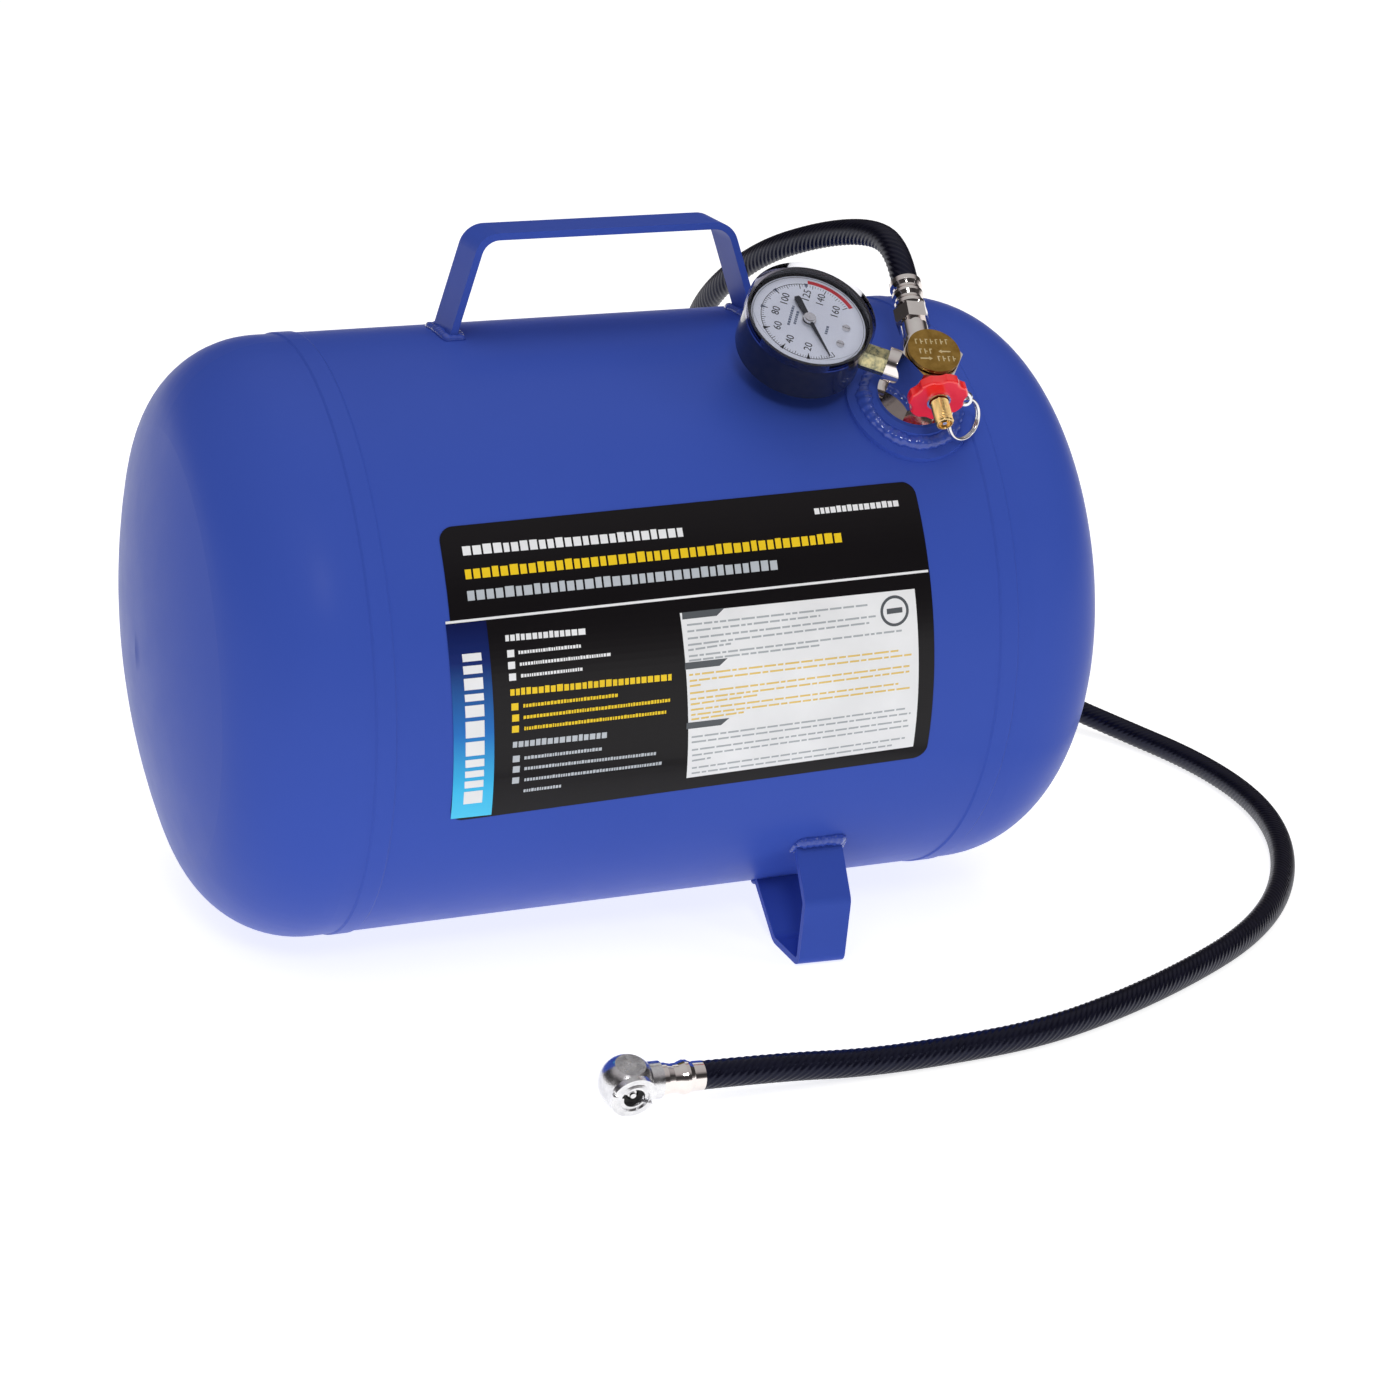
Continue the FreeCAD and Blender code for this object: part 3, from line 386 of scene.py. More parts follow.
# ------------------------------------------------------------------ label
def rounded_label():
    tl, tr, br, bl = (-107.1, 121.3), (98.6, 118.0), (101.4, 239.2), (-107.0, 244.9)
    rad = 6.0
    corners = [tl, tr, br, bl]
    line = []
    for i in range(4):
        p, q, s = corners[i - 1], corners[i], corners[(i + 1) % 4]
        a = Vector((p[0] - q[0], p[1] - q[1])).normalized()
        b = Vector((s[0] - q[0], s[1] - q[1])).normalized()
        c = Vector(q) + (a + b) * rad
        for j in range(9):
            t = j / 8.0 * math.pi / 2
            d = -b * math.cos(t) - a * math.sin(t)
            line.append(tuple(c + d * rad))
    # strips across, from top to bottom: cut the outline at many heights
    ys = sorted(set([round(p[1], 3) for p in line] + [118.0 + 3.0 * k for k in range(1, 42)]))
    rows = []
    n = len(line)
    for y in ys:
        xs = []
        for i in range(n):
            (x0, y0), (x1, y1) = line[i], line[(i + 1) % n]
            if (y0 - y) * (y1 - y) <= 0 and abs(y1 - y0) > 1e-9:
                t = (y - y0) / (y1 - y0)
                xs.append(x0 + (x1 - x0) * t)
            elif abs(y1 - y0) <= 1e-9 and abs(y0 - y) < 1e-9:
                xs += [x0, x1]
        if xs and max(xs) - min(xs) > 0.05:
            rows.append((y, min(xs), max(xs)))
    verts, faces = [], []
    for y, a, b in rows:
        for lift in (0.02, 0.22):
            verts.append(shell_point(a, y, lift))
            verts.append(shell_point(b, y, lift))
    k = len(rows) - 1
    for i in range(k):
        p, q = 4 * i, 4 * (i + 1)
        faces += [(p + 2, p + 3, q + 3, q + 2), (p, q, q + 1, p + 1), (p, p + 2, q + 2, q), (p + 1, q + 1, q + 3, p + 3)]
    e = 4 * k
    faces += [(0, 1, 3, 2), (e, e + 2, e + 3, e + 1)]
    o = make("label_sheet", verts, faces, "lab_black", "tank", smooth=False)
    fix_normals(o)
    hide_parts("label")
    return o


rounded_label()
L0, L1 = 0.22, 0.27
inks = {k: Slabs() for k in ("lab_white", "lab_yellow", "lab_grey", "lab_tab", "lab_fine", "lab_fine_y")}
inkof = {"w": "lab_white", "y": "lab_yellow", "g": "lab_grey"}


def words(target, x0, s0, x1, s1, h, seed, gap=1.0, lo=0.9, hi=2.6):
    """A row of plain bars of varied length in place of lettering."""
    r = rng(seed)
    x = x0
    while x < x1 - 0.4 * h:
        w = h * (lo + (hi - lo) * r())
        e = min(x + w, x1)
        if x1 - e < 0.5 * h:
            e = x1
        t0 = (x - x0) / (x1 - x0)
        t1 = (e - x0) / (x1 - x0)
        ya = s0 + (s1 - s0) * t0
        yb = s0 + (s1 - s0) * t1
        hh = h * (0.42 if r() < 0.75 else 0.5)
        target.quad((x, ya - hh), (e, yb - hh), (e, yb + h * 0.42), (x, ya + h * 0.42), L0, L1)
        x = e + h * 0.42 * gap


ROWS = [
    ("w", -98.5, 131.6, -3.5, 131.6, 4.4), ("y", -98.8, 141.0, 62.2, 139.5, 4.6), ("g", -99.0, 149.5, 32.5, 148.3, 4.6),
    ("w", 52.3, 127.7, 90.0, 127.2, 3.0),
    ("w", -85.2, 167.4, -51.9, 167.7, 2.9), ("w", -80.2, 173.5, -53.3, 173.3, 1.5), ("w", -79.9, 178.2, -41.9, 177.8, 1.5),
    ("w", -79.6, 182.9, -53.1, 182.6, 1.5),
    ("y", -84.2, 189.2, -16.2, 189.6, 3.1), ("y", -78.9, 195.2, -39.2, 194.8, 1.6), ("y", -78.8, 200.0, -16.8, 199.2, 1.6),
    ("y", -78.4, 204.8, -17.4, 204.1, 1.6),
    ("g", -83.0, 211.3, -43.4, 211.4, 3.0), ("g", -77.9, 217.7, -45.2, 217.4, 1.6), ("g", -77.6, 222.6, -21.6, 222.3, 1.6),
    ("g", -77.2, 227.9, -18.7, 227.3, 1.6), ("g", -77.1, 233.2, -61.3, 232.9, 1.6)]
for i, (c, xa, sa, xb, sb, h) in enumerate(ROWS):
    words(inks[inkof[c]], xa, sa, xb, sb, h, 11 + i, lo=0.35, hi=0.75, gap=0.5) if h < 2 else words(
        inks[inkof[c]], xa, sa, xb, sb, h, 11 + i, lo=0.5, hi=0.8, gap=0.45)
for c, x, s in (("w", -83.4, 173.6), ("w", -83.3, 178.3), ("w", -83.1, 183.0), ("y", -82.4, 195.2), ("y", -82.1, 199.9),
                ("y", -82.1, 204.6), ("g", -81.3, 217.7), ("g", -81.0, 222.5), ("g", -80.9, 227.7)):
    q = 1.45
    inks[inkof[c]].quad((x - q, s - q), (x + q, s - q), (x + q, s + q), (x - q, s + q), L0, L1)
inks["lab_white"].quad((-109.0, 158.7), (98.9, 155.9), (98.9, 156.9), (-109.0, 159.7), L0, L1)
# light panel with rows of fine bars and three dark tabs
inks["lab_white"].quad((-11.5, 164.0), (92.1, 163.2), (94.5, 233.1), (-6.8, 236.1), L0, L1)
F0, F1 = 0.27, 0.31
FINE = [
    (-8.8, 169.1, 70.5, 168.0), (-8.8, 171.7, 49.3, 170.5), (-8.8, 174.6, 73.9, 172.9), (-8.8, 177.2, 70.9, 175.4),
    (-8.8, 179.3, 9.7, 178.3), (-8.6, 181.8, 85.4, 179.9), (-8.6, 183.6, 48.9, 182.6),
    (-8.6, 189.5, 83.8, 188.2), (-8.4, 192.0, 89.8, 190.4), (-8.3, 194.2, -3.5, 194.0), (-8.2, 197.2, 89.0, 195.2),
    (-8.0, 199.8, 89.0, 197.6), (-7.8, 202.0, 21.7, 200.9), (-7.6, 204.4, 84.3, 202.5), (-7.4, 206.6, 90.4, 204.8),
    (-7.2, 208.6, 15.6, 207.8), (-6.6, 216.6, 88.2, 214.1), (-6.4, 219.0, 91.0, 216.5), (-6.0, 222.6, 90.3, 219.8),
    (-5.6, 225.2, 90.7, 222.4), (-5.4, 227.8, 3.7, 227.2), (-5.0, 231.4, 89.9, 228.2), (-4.8, 234.0, 84.4, 231.2)]
for i, (xa, sa, xb, sb) in enumerate(FINE):
    tgt = inks["lab_fine_y"] if 7 <= i <= 15 else inks["lab_fine"]
    r = rng(200 + i)
    x = xa
    while x < xb - 0.6:
        w = 1.6 + 5.0 * r()
        e = min(x + w, xb)
        ya = sa + (sb - sa) * (x - xa) / (xb - xa)
        yb = sa + (sb - sa) * (e - xa) / (xb - xa)
        tgt.quad((x, ya - 0.38), (e, yb - 0.38), (e, yb + 0.38), (x, ya + 0.38), F0, F1)
        x = e + 0.8
for xa, xb, s in ((-10.6, 7.7, 164.9), (-10.4, 8.1, 185.3), (-9.2, 9.4, 210.9)):
    inks["lab_tab"].quad((xa, s - 1.0), (xb, s - 1.2), (xb - 3.5, s + 1.6), (xa, s + 1.8), F0, F1)
ring_o, ring_i = 6.4, 5.2
for k in range(32):
    a0, a1 = 2 * math.pi * k / 32, 2 * math.pi * (k + 1) / 32
    cx, cs = 82.5, 171.5
    inks["lab_tab"].quad((cx + ring_i * math.cos(a0), cs + ring_i * math.sin(a0)), (cx + ring_o * math.cos(a0), cs + ring_o * math.sin(a0)),
                         (cx + ring_o * math.cos(a1), cs + ring_o * math.sin(a1)), (cx + ring_i * math.cos(a1), cs + ring_i * math.sin(a1)), F0, F1)
inks["lab_tab"].quad((79.0, 170.4), (86.0, 170.2), (86.0, 172.4), (79.0, 172.6), F0, F1)
# a column of plain bars on the blue strip
strip = Slabs()
strip.quad((-109.0, 159.9), (-92.5, 159.7), (-89.6, 243.6), (-106.6, 243.4), L0 - 0.02, L1 - 0.02)
strip_o = strip.build("label_strip", "lab_strip")
r = rng(77)
s = 172.0
while s < 238.0:
    h = 2.6 + 4.6 * r()
    e = min(s + h, 240.0)
    sh = (s - 172.0) * 0.02
    inks["lab_white"].quad((-103.4 + sh, s), (-95.6 + sh, s), (-95.4 + sh, e), (-103.2 + sh, e), 0.26, 0.31)
    s = e + 1.7
for k, sl in inks.items():
    if sl.f:
        sl.build("label_" + k[4:], k)

# ------------------------------------------------------------------ weld beads
def frame_along(pts, closed=False):
    n = len(pts)
    tans = []
    for i in range(n):
        if closed:
            t = pts[(i + 1) % n] - pts[i - 1]
        else:
            t = pts[min(i + 1, n - 1)] - pts[max(i - 1, 0)]
        tans.append(t.normalized())
    return tans


def bead(name, pts, ups, r, seed, closed, node, pitch=2.4, wide=1.25, amp=0.16, body="tank"):
    """A lumpy weld bead along pts (metres); ups are the outward directions."""
    tans = frame_along(pts, closed)
    n = len(pts)
    k = 14
    verts, faces = [], []
    run = 0.0
    off = Vector((seed * 3.1, seed * 1.7, seed * 0.9))
    for i in range(n):
        if i:
            run += (pts[i] - pts[i - 1]).length
        up = (ups[i] - tans[i] * ups[i].dot(tans[i])).normalized()
        side = tans[i].cross(up)
        ripple = 1.0 + 0.07 * math.sin(2 * math.pi * run / (pitch * MM) + 1.3 * noise.noise(pts[i] * 120 + off))
        lump = 1.0 + amp * noise.noise(pts[i] * 190 + off) * 1.6
        end = 1.0
        if not closed:
            e = min(i, n - 1 - i) / max(1.0, 0.14 * n)
            end = min(1.0, math.sqrt(max(0.0, 1 - (1 - min(1.0, e)) ** 2)))
        for j in range(k):
            a = 2 * math.pi * j / k
            loc = 1.0 + 0.10 * noise.noise(pts[i] * 420 + off + Vector((j * 0.31, 0, 0)))
            rr = r * MM * ripple * lump * loc * max(0.05, end)
            verts.append(pts[i] + side * (math.cos(a) * rr * wide) + up * (math.sin(a) * rr))
    rows = n if closed else n - 1
    for i in range(rows):
        for j in range(k):
            a, b = i * k + j, i * k + (j + 1) % k
            c, d = ((i + 1) % n) * k + (j + 1) % k, ((i + 1) % n) * k + j
            faces.append((a, b, c, d))
    if not closed:
        faces.append(tuple(reversed(range(k))))
        faces.append(tuple((n - 1) * k + j for j in range(k)))
    o = make(name, verts, faces, "weld", body)
    fix_normals(o)
    if node:
        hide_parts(node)
    return o


def shell_ups(pts):
    inv = TANK.inverted()
    out = []
    for p in pts:
        q = inv @ p
        v = Vector((0, q.y, q.z)).normalized()
        out.append((TANK.to_3x3() @ v).normalized())
    return out


sl = 0.325
for side, x0, lean in (("left", -59.6 - sl * (169.5 - R), -1), ("right", 51.8 + sl * (169.5 - R), 1)):
    xm = x0 - lean * 1.6
    hw, hl = 12.6, 2.9
    line = []
    path = [(-hl, -hw), (hl, -hw), (hl, hw), (-hl, hw)]
    for i in range(4):
        a, b = path[i], path[(i + 1) % 4]
        L = math.hypot(b[0] - a[0], b[1] - a[1])
        m_ = max(4, int(L / 0.6))
        for j in range(m_):
            t = j / m_
            line.append((xm + a[0] + (b[0] - a[0]) * t, a[1] + (b[1] - a[1]) * t))
    pts = []
    for x, y in line:
        z = math.sqrt(R * R - y * y)
        pts.append(TANK @ Vector((x * MM, y * MM, (z + 0.35) * MM)))
    bead("weld_handle_" + side, pts, shell_ups(pts), 1.75, 5 if side == "left" else 9, True, "handle_weld_" + side)

ZC = 132.42 + 68.0 * math.sin(LEAN)


def on_shell(deg, r):
    return r * math.sin(math.radians(deg)), ZC - r * math.cos(math.radians(deg))


for side, sg in (("front", -1), ("back", 1)):
    for what, deg, rr in (("upper", 50.6, 2.5), ("lower", 24.6, 2.1)):
        y, z = on_shell(deg, R + 0.5)
        pts = [Vector(((68.0 - 11.6 + 23.2 * i / 44) * MM, sg * y * MM, z * MM)) for i in range(45)]
        # follow the leaning shell
        inv = TANK.inverted()
        fixed = []
        for p in pts:
            q = inv @ p
            k = (R + 0.5) * MM / math.hypot(q.y, q.z)
            fixed.append(TANK @ Vector((q.x, q.y * k, q.z * k)))
        bead("weld_foot_%s_%s" % (side, what), fixed, shell_ups(fixed), rr, 13 + 3 * (sg > 0) + (what == "upper"), False,
             "foot_weld_%s_%s" % (side, what), pitch=2.8)
# short side beads, where the upper end of the front foot meets the shell
for sg, sname in ((-1, "front"), (1, "back")):
    for ex, tag in ((-1, "a"), (1, "b")):
        pts = []
        for i in range(16):
            deg = 50.2 - 3.6 * i / 15.0
            y, z = on_shell(deg, R + 0.3)
            pts.append(Vector(((68.0 + ex * 10.9) * MM, sg * y * MM, z * MM)))
        bead("weld_foot_%s_side_%s" % (sname, tag), pts, shell_ups(pts), 1.3, 31 + ex, False, None, pitch=2.6)

N = 220
pts, ups = [], []
inv = TANK.inverted()
axis = (PORT.to_3x3() @ Vector((0, 0, 1))).normalized()
for i in range(N):
    a = 2 * math.pi * i / N
    p = PORT @ Vector((20.2 * math.cos(a) * MM, 20.2 * math.sin(a) * MM, 130 * MM))
    q = inv @ p
    # height of the pad's outer face under this point, along the port axis
    loc = PORT.inverted() @ TANK
    z = 131.0
    for _ in range(12):
        w = inv @ (PORT @ Vector((20.2 * math.cos(a) * MM, 20.2 * math.sin(a) * MM, z * MM)))
        z -= (math.hypot(w.y, w.z) / MM - (R + 2.6))
    pts.append(PORT @ Vector((20.2 * math.cos(a) * MM, 20.2 * math.sin(a) * MM, z * MM)))
    out = PORT.to_3x3() @ Vector((math.cos(a) * 0.55, math.sin(a) * 0.55, 1.0))
    ups.append(out.normalized())
bead("weld_port", pts, ups, 2.6, 21, True, "port_weld", pitch=3.4, wide=1.3, amp=0.22)

# ------------------------------------------------------------------ fill stem with its thread
def lathe(name, prof, mtx, mat, body, k=64, node=None, thread=None):
    """prof: list of (r, z) mm. thread = (z0, z1, pitch, depth): a real helix cut in the
    outer wall between z0 and z1."""
    verts, faces = [], []
    n = len(prof)
    for i, (r_, z_) in enumerate(prof):
        for j in range(k):
            a = 2 * math.pi * j / k
            rr = r_
            if thread and thread[0] < z_ < thread[1] and r_ > thread[4]:
                ph = ((z_ / thread[2]) - j / k) % 1.0
                rr = r_ - thread[3] * abs(2 * ph - 1.0)
            verts.append(mtx @ Vector((rr * math.cos(a) * MM, rr * math.sin(a) * MM, z_ * MM)))
    for i in range(n - 1):
        for j in range(k):
            faces.append((i * k + j, i * k + (j + 1) % k, (i + 1) * k + (j + 1) % k, (i + 1) * k + j))
    for j in range(k):
        faces.append(((n - 1) * k + j, (n - 1) * k + (j + 1) % k, (j + 1) % k, j))
    o = make(name, verts, faces, mat, body)
    fix_normals(o)
    if node:
        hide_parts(node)
    return o


prof = [(1.3, 3.5), (3.5, 3.5), (3.5, 20.8)]
z = 20.9
while z < 31.5:
    prof.append((3.86, z))
    z += 0.1
prof += [(3.5, 31.95), (3.3, 32.1), (2.9, 32.1), (2.7, 31.6), (2.66, 23.1), (1.3, 22.1)]
stem = lathe("fill_stem_threaded", prof, FS, "brass", "tank", k=72, node="fill_stem", thread=(20.8, 31.4, 0.794, 0.42, 3.5))
stem.data.polygons.foreach_set("use_smooth", [False] * len(stem.data.polygons))

# ------------------------------------------------------------------ dial print
def dial_quad(verts, faces, pts, z0, z1):
    o = len(verts)
    n = len(pts)
    for zz in (z0, z1):
        for u, v in pts:
            verts.append(GA @ Vector((u * MM, v * MM, zz * MM)))
    faces.append(tuple(o + n + i for i in range(n)))
    faces.append(tuple(o + i for i in reversed(range(n))))
    for i in range(n):
        j = (i + 1) % n
        faces.append((o + i, o + j, o + n + j, o + n + i))


def polar(r_, deg):
    a = math.radians(deg)
    return (r_ * math.sin(a), r_ * math.cos(a))


def ang(v):
    return -135.0 + 270.0 * v / 160.0


D0, D1 = -6.1, -6.03
dv = {k: ([], []) for k in ("ink", "ink_red", "ink_grey")}


def tick(key, r0, r1, deg, w0, w1=None):
    w1 = w0 if w1 is None else w1
    a = math.radians(deg)
    ux, uy = math.sin(a), math.cos(a)
    px_, py_ = uy, -ux
    dial_quad(dv[key][0], dv[key][1], [(ux * r0 - px_ * w0, uy * r0 - py_ * w0), (ux * r0 + px_ * w0, uy * r0 + py_ * w0),
                                       (ux * r1 + px_ * w1, uy * r1 + py_ * w1), (ux * r1 - px_ * w1, uy * r1 - py_ * w1)], D0, D1)


def arc(key, r0, r1, a0, a1, steps):
    for i in range(steps):
        t0 = a0 + (a1 - a0) * i / steps
        t1 = a0 + (a1 - a0) * (i + 1) / steps
        dial_quad(dv[key][0], dv[key][1], [polar(r0, t0), polar(r0, t1), polar(r1, t1), polar(r1, t0)], D0, D1)


for v in range(0, 161, 2):
    big = v % 20 == 0
    mid = v % 10 == 0
    tick("ink", 17.6 if big else (18.2 if mid else 18.9), 20.0, ang(v), 0.17 if big else (0.12 if mid else 0.08))
arc("ink", 20.0, 20.25, -135, 78, 90)
arc("ink_red", 20.6, 22.4, 78, 137, 40)
arc("ink", 23.6, 23.75, -180, 180, 120)
for v, key in ((20, "ink"), (40, "ink"), (60, "ink"), (80, "ink_grey"), (100, "ink_grey"), (125, "ink_grey")):
    tick(key, 18.2, 20.6, ang(v), 0.15, 0.85)
for key, (vv, ff) in dv.items():
    o = make("dial_print_" + key, vv, ff, key, "tank", smooth=False)
    fix_normals(o)


def digits(text, u, v, size, deg=0.0, mat="ink"):
    c = bpy.data.curves.new("dial_text_" + text, "FONT")
    c.body = text
    c.size = size * MM
    c.align_x = "CENTER"
    c.align_y = "CENTER"
    c.extrude = 0.03 * MM
    c.resolution_u = 3
    o = bpy.data.objects.new("dial_text_src", c)
    bpy.context.scene.collection.objects.link(o)
    dg = bpy.context.evaluated_depsgraph_get()
    me = bpy.data.meshes.new_from_object(o.evaluated_get(dg))
    bpy.data.objects.remove(o)
    mt = GA @ Matrix.Translation((u * MM, v * MM, (D1 - 0.03) * MM)) @ Matrix.Rotation(math.radians(deg), 4, "Z")
    me.transform(mt)
    me.materials.clear()
    me.materials.append(M[mat])
    p = bpy.data.objects.new("dial_number_" + text, me)
    bpy.context.scene.collection.objects.link(p)
    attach(p, "tank")
    return p


for v in (20, 40, 60, 80, 100, 125, 140, 160):
    x_, y_ = polar(14.0, ang(v))
    tilt = 0.0
    digits(str(v), x_, y_, 4.6, tilt)
# two rows of plain bars where the dial has small print
vv, ff = [], []
for (ua, ub, v_) in ((-5.6, 5.6, 7.6), (-4.0, 4.0, 5.2), (-3.8, 0.8, -8.3)):
    x = ua
    rr_ = rng(int(v_ * 10) + 400)
    while x < ub - 0.3:
        e = min(x + 0.7 + 0.5 * rr_(), ub)
        dial_quad(vv, ff, [(x, v_ - 0.55), (e, v_ - 0.55), (e, v_ + 0.55), (x, v_ + 0.55)], D0, D1)
        x = e + 0.35
o = make("dial_small_bars", vv, ff, "ink_grey", "tank", smooth=False)
fix_normals(o)

# ------------------------------------------------------------------ flow disc engraving: plain arrows
vv, ff = [], []
Z0, Z1 = 27.5 + 0.6 + 1.5 - 0.02, 27.5 + 0.6 + 1.5 + 0.05


def disc_poly(pts):
    o = len(vv)
    n = len(pts)
    for zz in (Z0, Z1):
        for u, v in pts:
            vv.append(MAN @ Vector((u * MM, v * MM, zz * MM)))
    ff.append(tuple(o + n + i for i in range(n)))
    ff.append(tuple(o + i for i in reversed(range(n))))
    for i in range(n):
        j = (i + 1) % n
        ff.append((o + i, o + j, o + n + j, o + n + i))


def disc_arrow(x0, y0, x1, y1, w=0.35):
    d = Vector((x1 - x0, y1 - y0))
    L = d.length
    d.normalize()
    p = Vector((-d.y, d.x))
    a, b = Vector((x0, y0)), Vector((x1, y1))
    neck = b - d * 1.6
    disc_poly([tuple(a - p * w), tuple(neck - p * w), tuple(neck + p * w), tuple(a + p * w)])
    disc_poly([tuple(neck - p * 1.0), tuple(b), tuple(neck + p * 1.0)])


disc_arrow(7.0, -0.6, 1.6, -0.6)
disc_arrow(-7.0, -4.4, -1.6, -4.4)
for x0, y0, n_ in ((-7.4, 4.6, 7), (-6.6, -0.6, 3), (0.6, -4.4, 4)):
    for i in range(n_):
        h = 1.35
        xx = x0 + i * 2.2
        disc_poly([(xx, y0 - h), (xx + 0.5, y0 - h), (xx + 0.5, y0 + h), (xx, y0 + h)])
        if i % 2:
            disc_poly([(xx + 0.5, y0 - 0.25), (xx + 1.3, y0 - 0.25), (xx + 1.3, y0 + 0.25), (xx + 0.5, y0 + 0.25)])
        else:
            disc_poly([(xx + 0.5, y0 + h - 0.5), (xx + 1.2, y0 + h - 0.5), (xx + 1.2, y0 + h), (xx + 0.5, y0 + h)])
o = make("disc_marks", vv, ff, "brass_dark", "tank", smooth=False)
fix_normals(o)

# ------------------------------------------------------------------ hose
ROUTE = [
    (110.309, -49.643, 283.672), (112.7, -36.889, 293.416), (112.6, -14.5, 299.1), (106.7, 28.3, 290.4), (95.9, 79.6, 270.9),
    (90.1, 127.5, 239.0), (102.1, 167.5, 205.5), (125.2, 199.3, 165.9), (156.9, 220.4, 125.8), (196.2, 228.2, 87.7),
    (239.0, 221.5, 54.6), (280.7, 200.7, 29.2), (316.4, 167.8, 13.2), (342.1, 126.3, 6.3), (355.5, 80.2, 5.8),
    (357.3, 30.9, 5.9), (347.1, -15.4, 6.0), (325.1, -61.7, 5.9), (294.7, -103.9, 5.9), (258.9, -137.4, 5.9),
    (215.6, -165.2, 6.0), (168.1, -189.7, 5.9), (122.7, -207.0, 5.8), (77.0, -213.3, 5.8), (38.0, -216.5, 6.4),
    (2.0, -218.7, 9.9), (-32.3, -220.0, 10.9)]
cu = bpy.data.curves.new("hose_line", "CURVE")
cu.dimensions = "3D"
sp = cu.splines.new("NURBS")
sp.points.add(len(ROUTE) - 1)
for p, q in zip(sp.points, ROUTE):
    p.co = (q[0] * MM, q[1] * MM, q[2] * MM, 1.0)
sp.order_u = 3
sp.use_endpoint_u = True
sp.resolution_u = 24
src = bpy.data.objects.new("hose_line_src", cu)
bpy.context.scene.collection.objects.link(src)
dg = bpy.context.evaluated_depsgraph_get()
lm = bpy.data.meshes.new_from_object(src.evaluated_get(dg))
line = [v.co.copy() for v in lm.vertices]
bpy.data.objects.remove(src)
# even steps along the spline
cum = [0.0]
for a, b in zip(line, line[1:]):
    cum.append(cum[-1] + (b - a).length)
total = cum[-1]
STEP = 0.00055
cnt = int(total / STEP)
path = []
j = 0
for i in range(cnt + 1):
    d = total * i / cnt
    while j < len(cum) - 2 and cum[j + 1] < d:
        j += 1
    t = (d - cum[j]) / max(1e-12, cum[j + 1] - cum[j])
    path.append(line[j].lerp(line[j + 1], t))
tans = frame_along(path)
side = tans[0].cross(Vector((0, 0, 1))).normalized()
K = 60
HR = 5.75
verts, faces = [], []
for i, p in enumerate(path):
    t = tans[i]
    side = (side - t * side.dot(t)).normalized()
    up = t.cross(side)
    d = total * i / cnt
    end = min(1.0, min(d, total - d) / 0.002)
    for j in range(K):
        a = 2 * math.pi * j / K
        w1 = math.sin(12 * a + 2 * math.pi * d / 0.0033)
        rr = HR - 0.02 + 0.17 * w1 * end - 0.17 * end
        verts.append(p + side * (math.cos(a) * rr * MM) + up * (math.sin(a) * rr * MM))
n = len(path)
for i in range(n - 1):
    for j in range(K):
        faces.append((i * K + j, (i + 1) * K + j, (i + 1) * K + (j + 1) % K, i * K + (j + 1) % K))
faces.append(tuple(range(K)))
faces.append(tuple((n - 1) * K + j for j in reversed(range(K))))
hose = make("hose_tube", verts, faces, "hose", "tank")
fix_normals(hose)
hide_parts("hose")

# ------------------------------------------------------------------ materials of the CAD nodes
for node in ("shell", "head_left", "head_right", "seam_left", "seam_right", "handle", "foot_front", "foot_back", "port_pad", "port_bung"):
    assign(node, "paint")
for node, mat in (
        ("manifold_body", "chrome"), ("airflow_disc", "brass_disc"), ("shutoff_knob", "red"), ("shutoff_sleeve", "brass"),
        ("knob_washer", "steel"), ("valve_core", "brass"), ("core_pin", "steel"), ("relief_body", "chrome"),
        ("relief_poppet", "brass"), ("relief_stem", "steel"), ("pull_ring", "wire"), ("gauge_case", "case"),
        ("gauge_lens", "lens"), ("gauge_dial", "dial"), ("dial_screws", "steel"), ("movement_frame", "brass"),
        ("gauge_socket", "zinc"), ("bourdon_tube", "brass"), ("pointer", "pointer"), ("pointer_hub", "steel"),
        ("pinion_staff", "brass"), ("sector_gear", "brass"), ("sector_arbor", "steel"), ("hose_fitting", "chrome"),
        ("hose_ferrule_top", "chrome"), ("hose_ferrule_end", "chrome"), ("chuck_body", "cast_chrome"),
        ("chuck_nose", "cast_chrome"), ("chuck_seal", "rubber_seal"), ("chuck_pin", "steel")):
    assign(node, mat)

# ------------------------------------------------------------------ floor, light, camera
def floor():
    me = bpy.data.meshes.new("floor")
    s_ = 14.0
    z_ = -0.0003
    me.from_pydata([(-s_, -s_, z_), (s_, -s_, z_), (s_, s_, z_), (-s_, s_, z_)], [], [(0, 1, 2, 3)])
    o = bpy.data.objects.new("floor", me)
    bpy.context.scene.collection.objects.link(o)
    m, nt, b = new_mat("floor_pale")
    b.inputs["Base Color"].default_value = (0.62, 0.62, 0.62, 1)
    b.inputs["Roughness"].default_value = 0.9
    b.inputs["Specular IOR Level"].default_value = 0.0
    b.inputs["Emission Color"].default_value = (1, 1, 1, 1)
    b.inputs["Emission Strength"].default_value = 0.80
    me.materials.append(m)


floor()


def area(name, loc, target, size, size_y, power, col=(1, 1, 1), glossy=True):
    l = bpy.data.lights.new(name, "AREA")
    l.shape = "RECTANGLE"
    l.size = size
    l.size_y = size_y
    l.energy = power
    l.color = col
    o = bpy.data.objects.new(name, l)
    bpy.context.scene.collection.objects.link(o)
    o.location = loc
    d = Vector(target) - Vector(loc)
    o.rotation_euler = d.to_track_quat("-Z", "Y").to_euler()
    o.visible_glossy = glossy
    return o


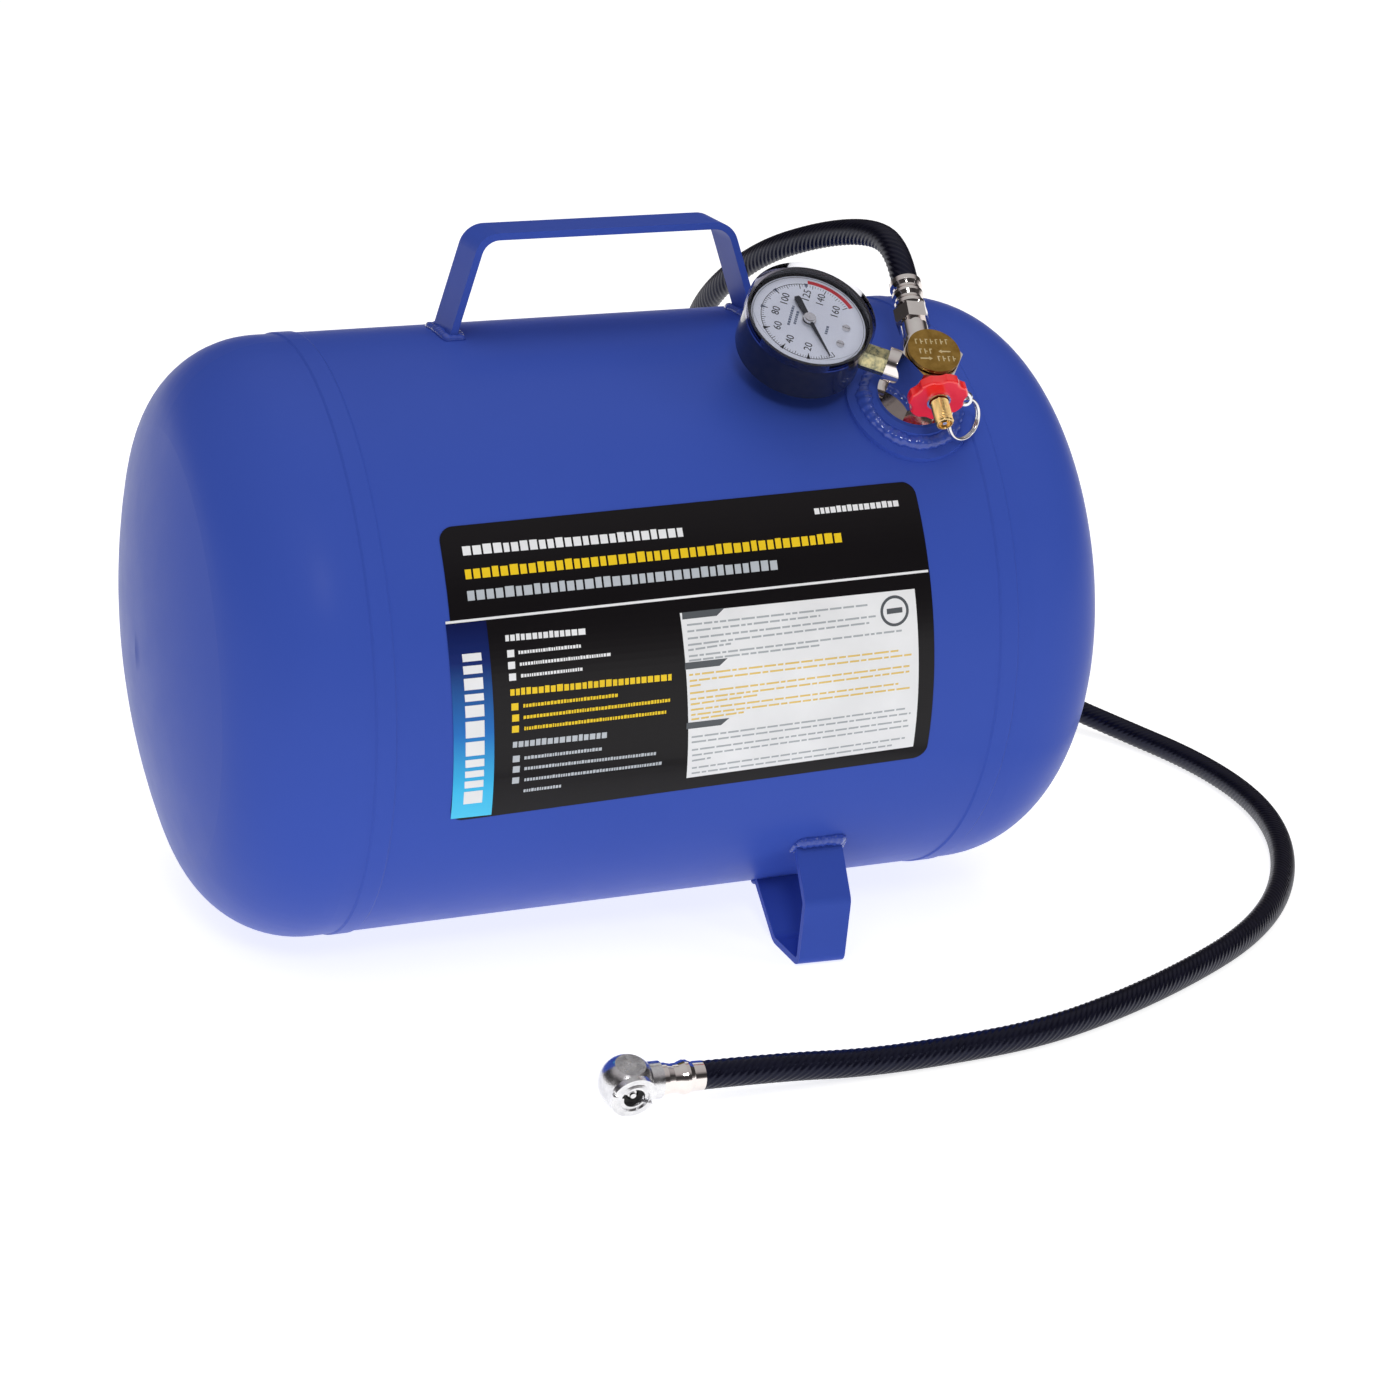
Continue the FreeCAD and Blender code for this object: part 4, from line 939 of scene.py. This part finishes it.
area("key", (-1.1, -1.7, 2.3), (0, 0, 0.1), 1.3, 1.3, 11, glossy=False)
area("fill", (2.2, -1.4, 1.4), (0, 0, 0.1), 0.9, 1.4, 7, glossy=False)
area("top", (0.2, 0.5, 2.6), (0, 0, 0.1), 2.2, 1.5, 14, glossy=False)
area("rim", (-1.8, 1.8, 1.3), (0, 0, 0.1), 1.6, 1.2, 2.5, glossy=False)
area("spark", (-0.5, -1.9, 1.5), (0.1, 0, 0.15), 0.42, 0.42, 8.5)
area("spark_side", (1.5, -1.6, 0.7), (0.1, 0, 0.15), 0.12, 0.30, 1.2)

w = bpy.data.worlds.new("studio")
bpy.context.scene.world = w
w.use_nodes = True
nt = w.node_tree
nt.nodes.clear()
wo = nt.nodes.new("ShaderNodeOutputWorld")
bg = nt.nodes.new("ShaderNodeBackground")
tc = nt.nodes.new("ShaderNodeTexCoord")
sx = nt.nodes.new("ShaderNodeSeparateXYZ")
nt.links.new(tc.outputs["Generated"], sx.inputs[0])
cr = nt.nodes.new("ShaderNodeValToRGB")
els = cr.color_ramp.elements
els[0].position = 0.0
els[0].color = (0.9, 0.9, 0.92, 1)
els[1].position = 1.0
els[1].color = (1.0, 1.0, 1.0, 1)
for p_, c_ in ((0.52, 0.70), (0.58, 0.10), (0.74, 0.07), (0.86, 0.80)):
    e = els.new(p_)
    e.color = (c_ * 1.05, c_ * 0.98, c_, 1)
mr = nt.nodes.new("ShaderNodeMapRange")
mr.inputs["From Min"].default_value = -1.0
mr.inputs["From Max"].default_value = 1.0
nt.links.new(sx.outputs["Z"], mr.inputs["Value"])
nt.links.new(mr.outputs[0], cr.inputs[0])
nt.links.new(cr.outputs[0], bg.inputs[0])
bg.inputs[1].default_value = 0.55
nt.links.new(bg.outputs[0], wo.inputs[0])

cam = bpy.data.cameras.new("camera")
cam.sensor_width = 36.0
cam.lens = 84.857
cam.clip_start = 0.05
cam.clip_end = 60.0
co = bpy.data.objects.new("camera", cam)
bpy.context.scene.collection.objects.link(co)
X = Vector((0.92956, -0.36415, 0.05754))
Y = Vector((0.06483, 0.31511, 0.94684))
Z = Vector((-0.36292, -0.87642, 0.31652))
Z.normalize()
X = (X - Z * X.dot(Z)).normalized()
Y = Z.cross(X)
mw = Matrix.Identity(4)
for i, v in enumerate((X, Y, Z)):
    for r_ in range(3):
        mw[r_][i] = v[r_]
for r_, c_ in enumerate((-0.48719, -1.29462, 0.55321)):
    mw[r_][3] = c_
co.matrix_world = mw
bpy.context.scene.camera = co
bpy.context.scene.view_settings.view_transform = "Standard"

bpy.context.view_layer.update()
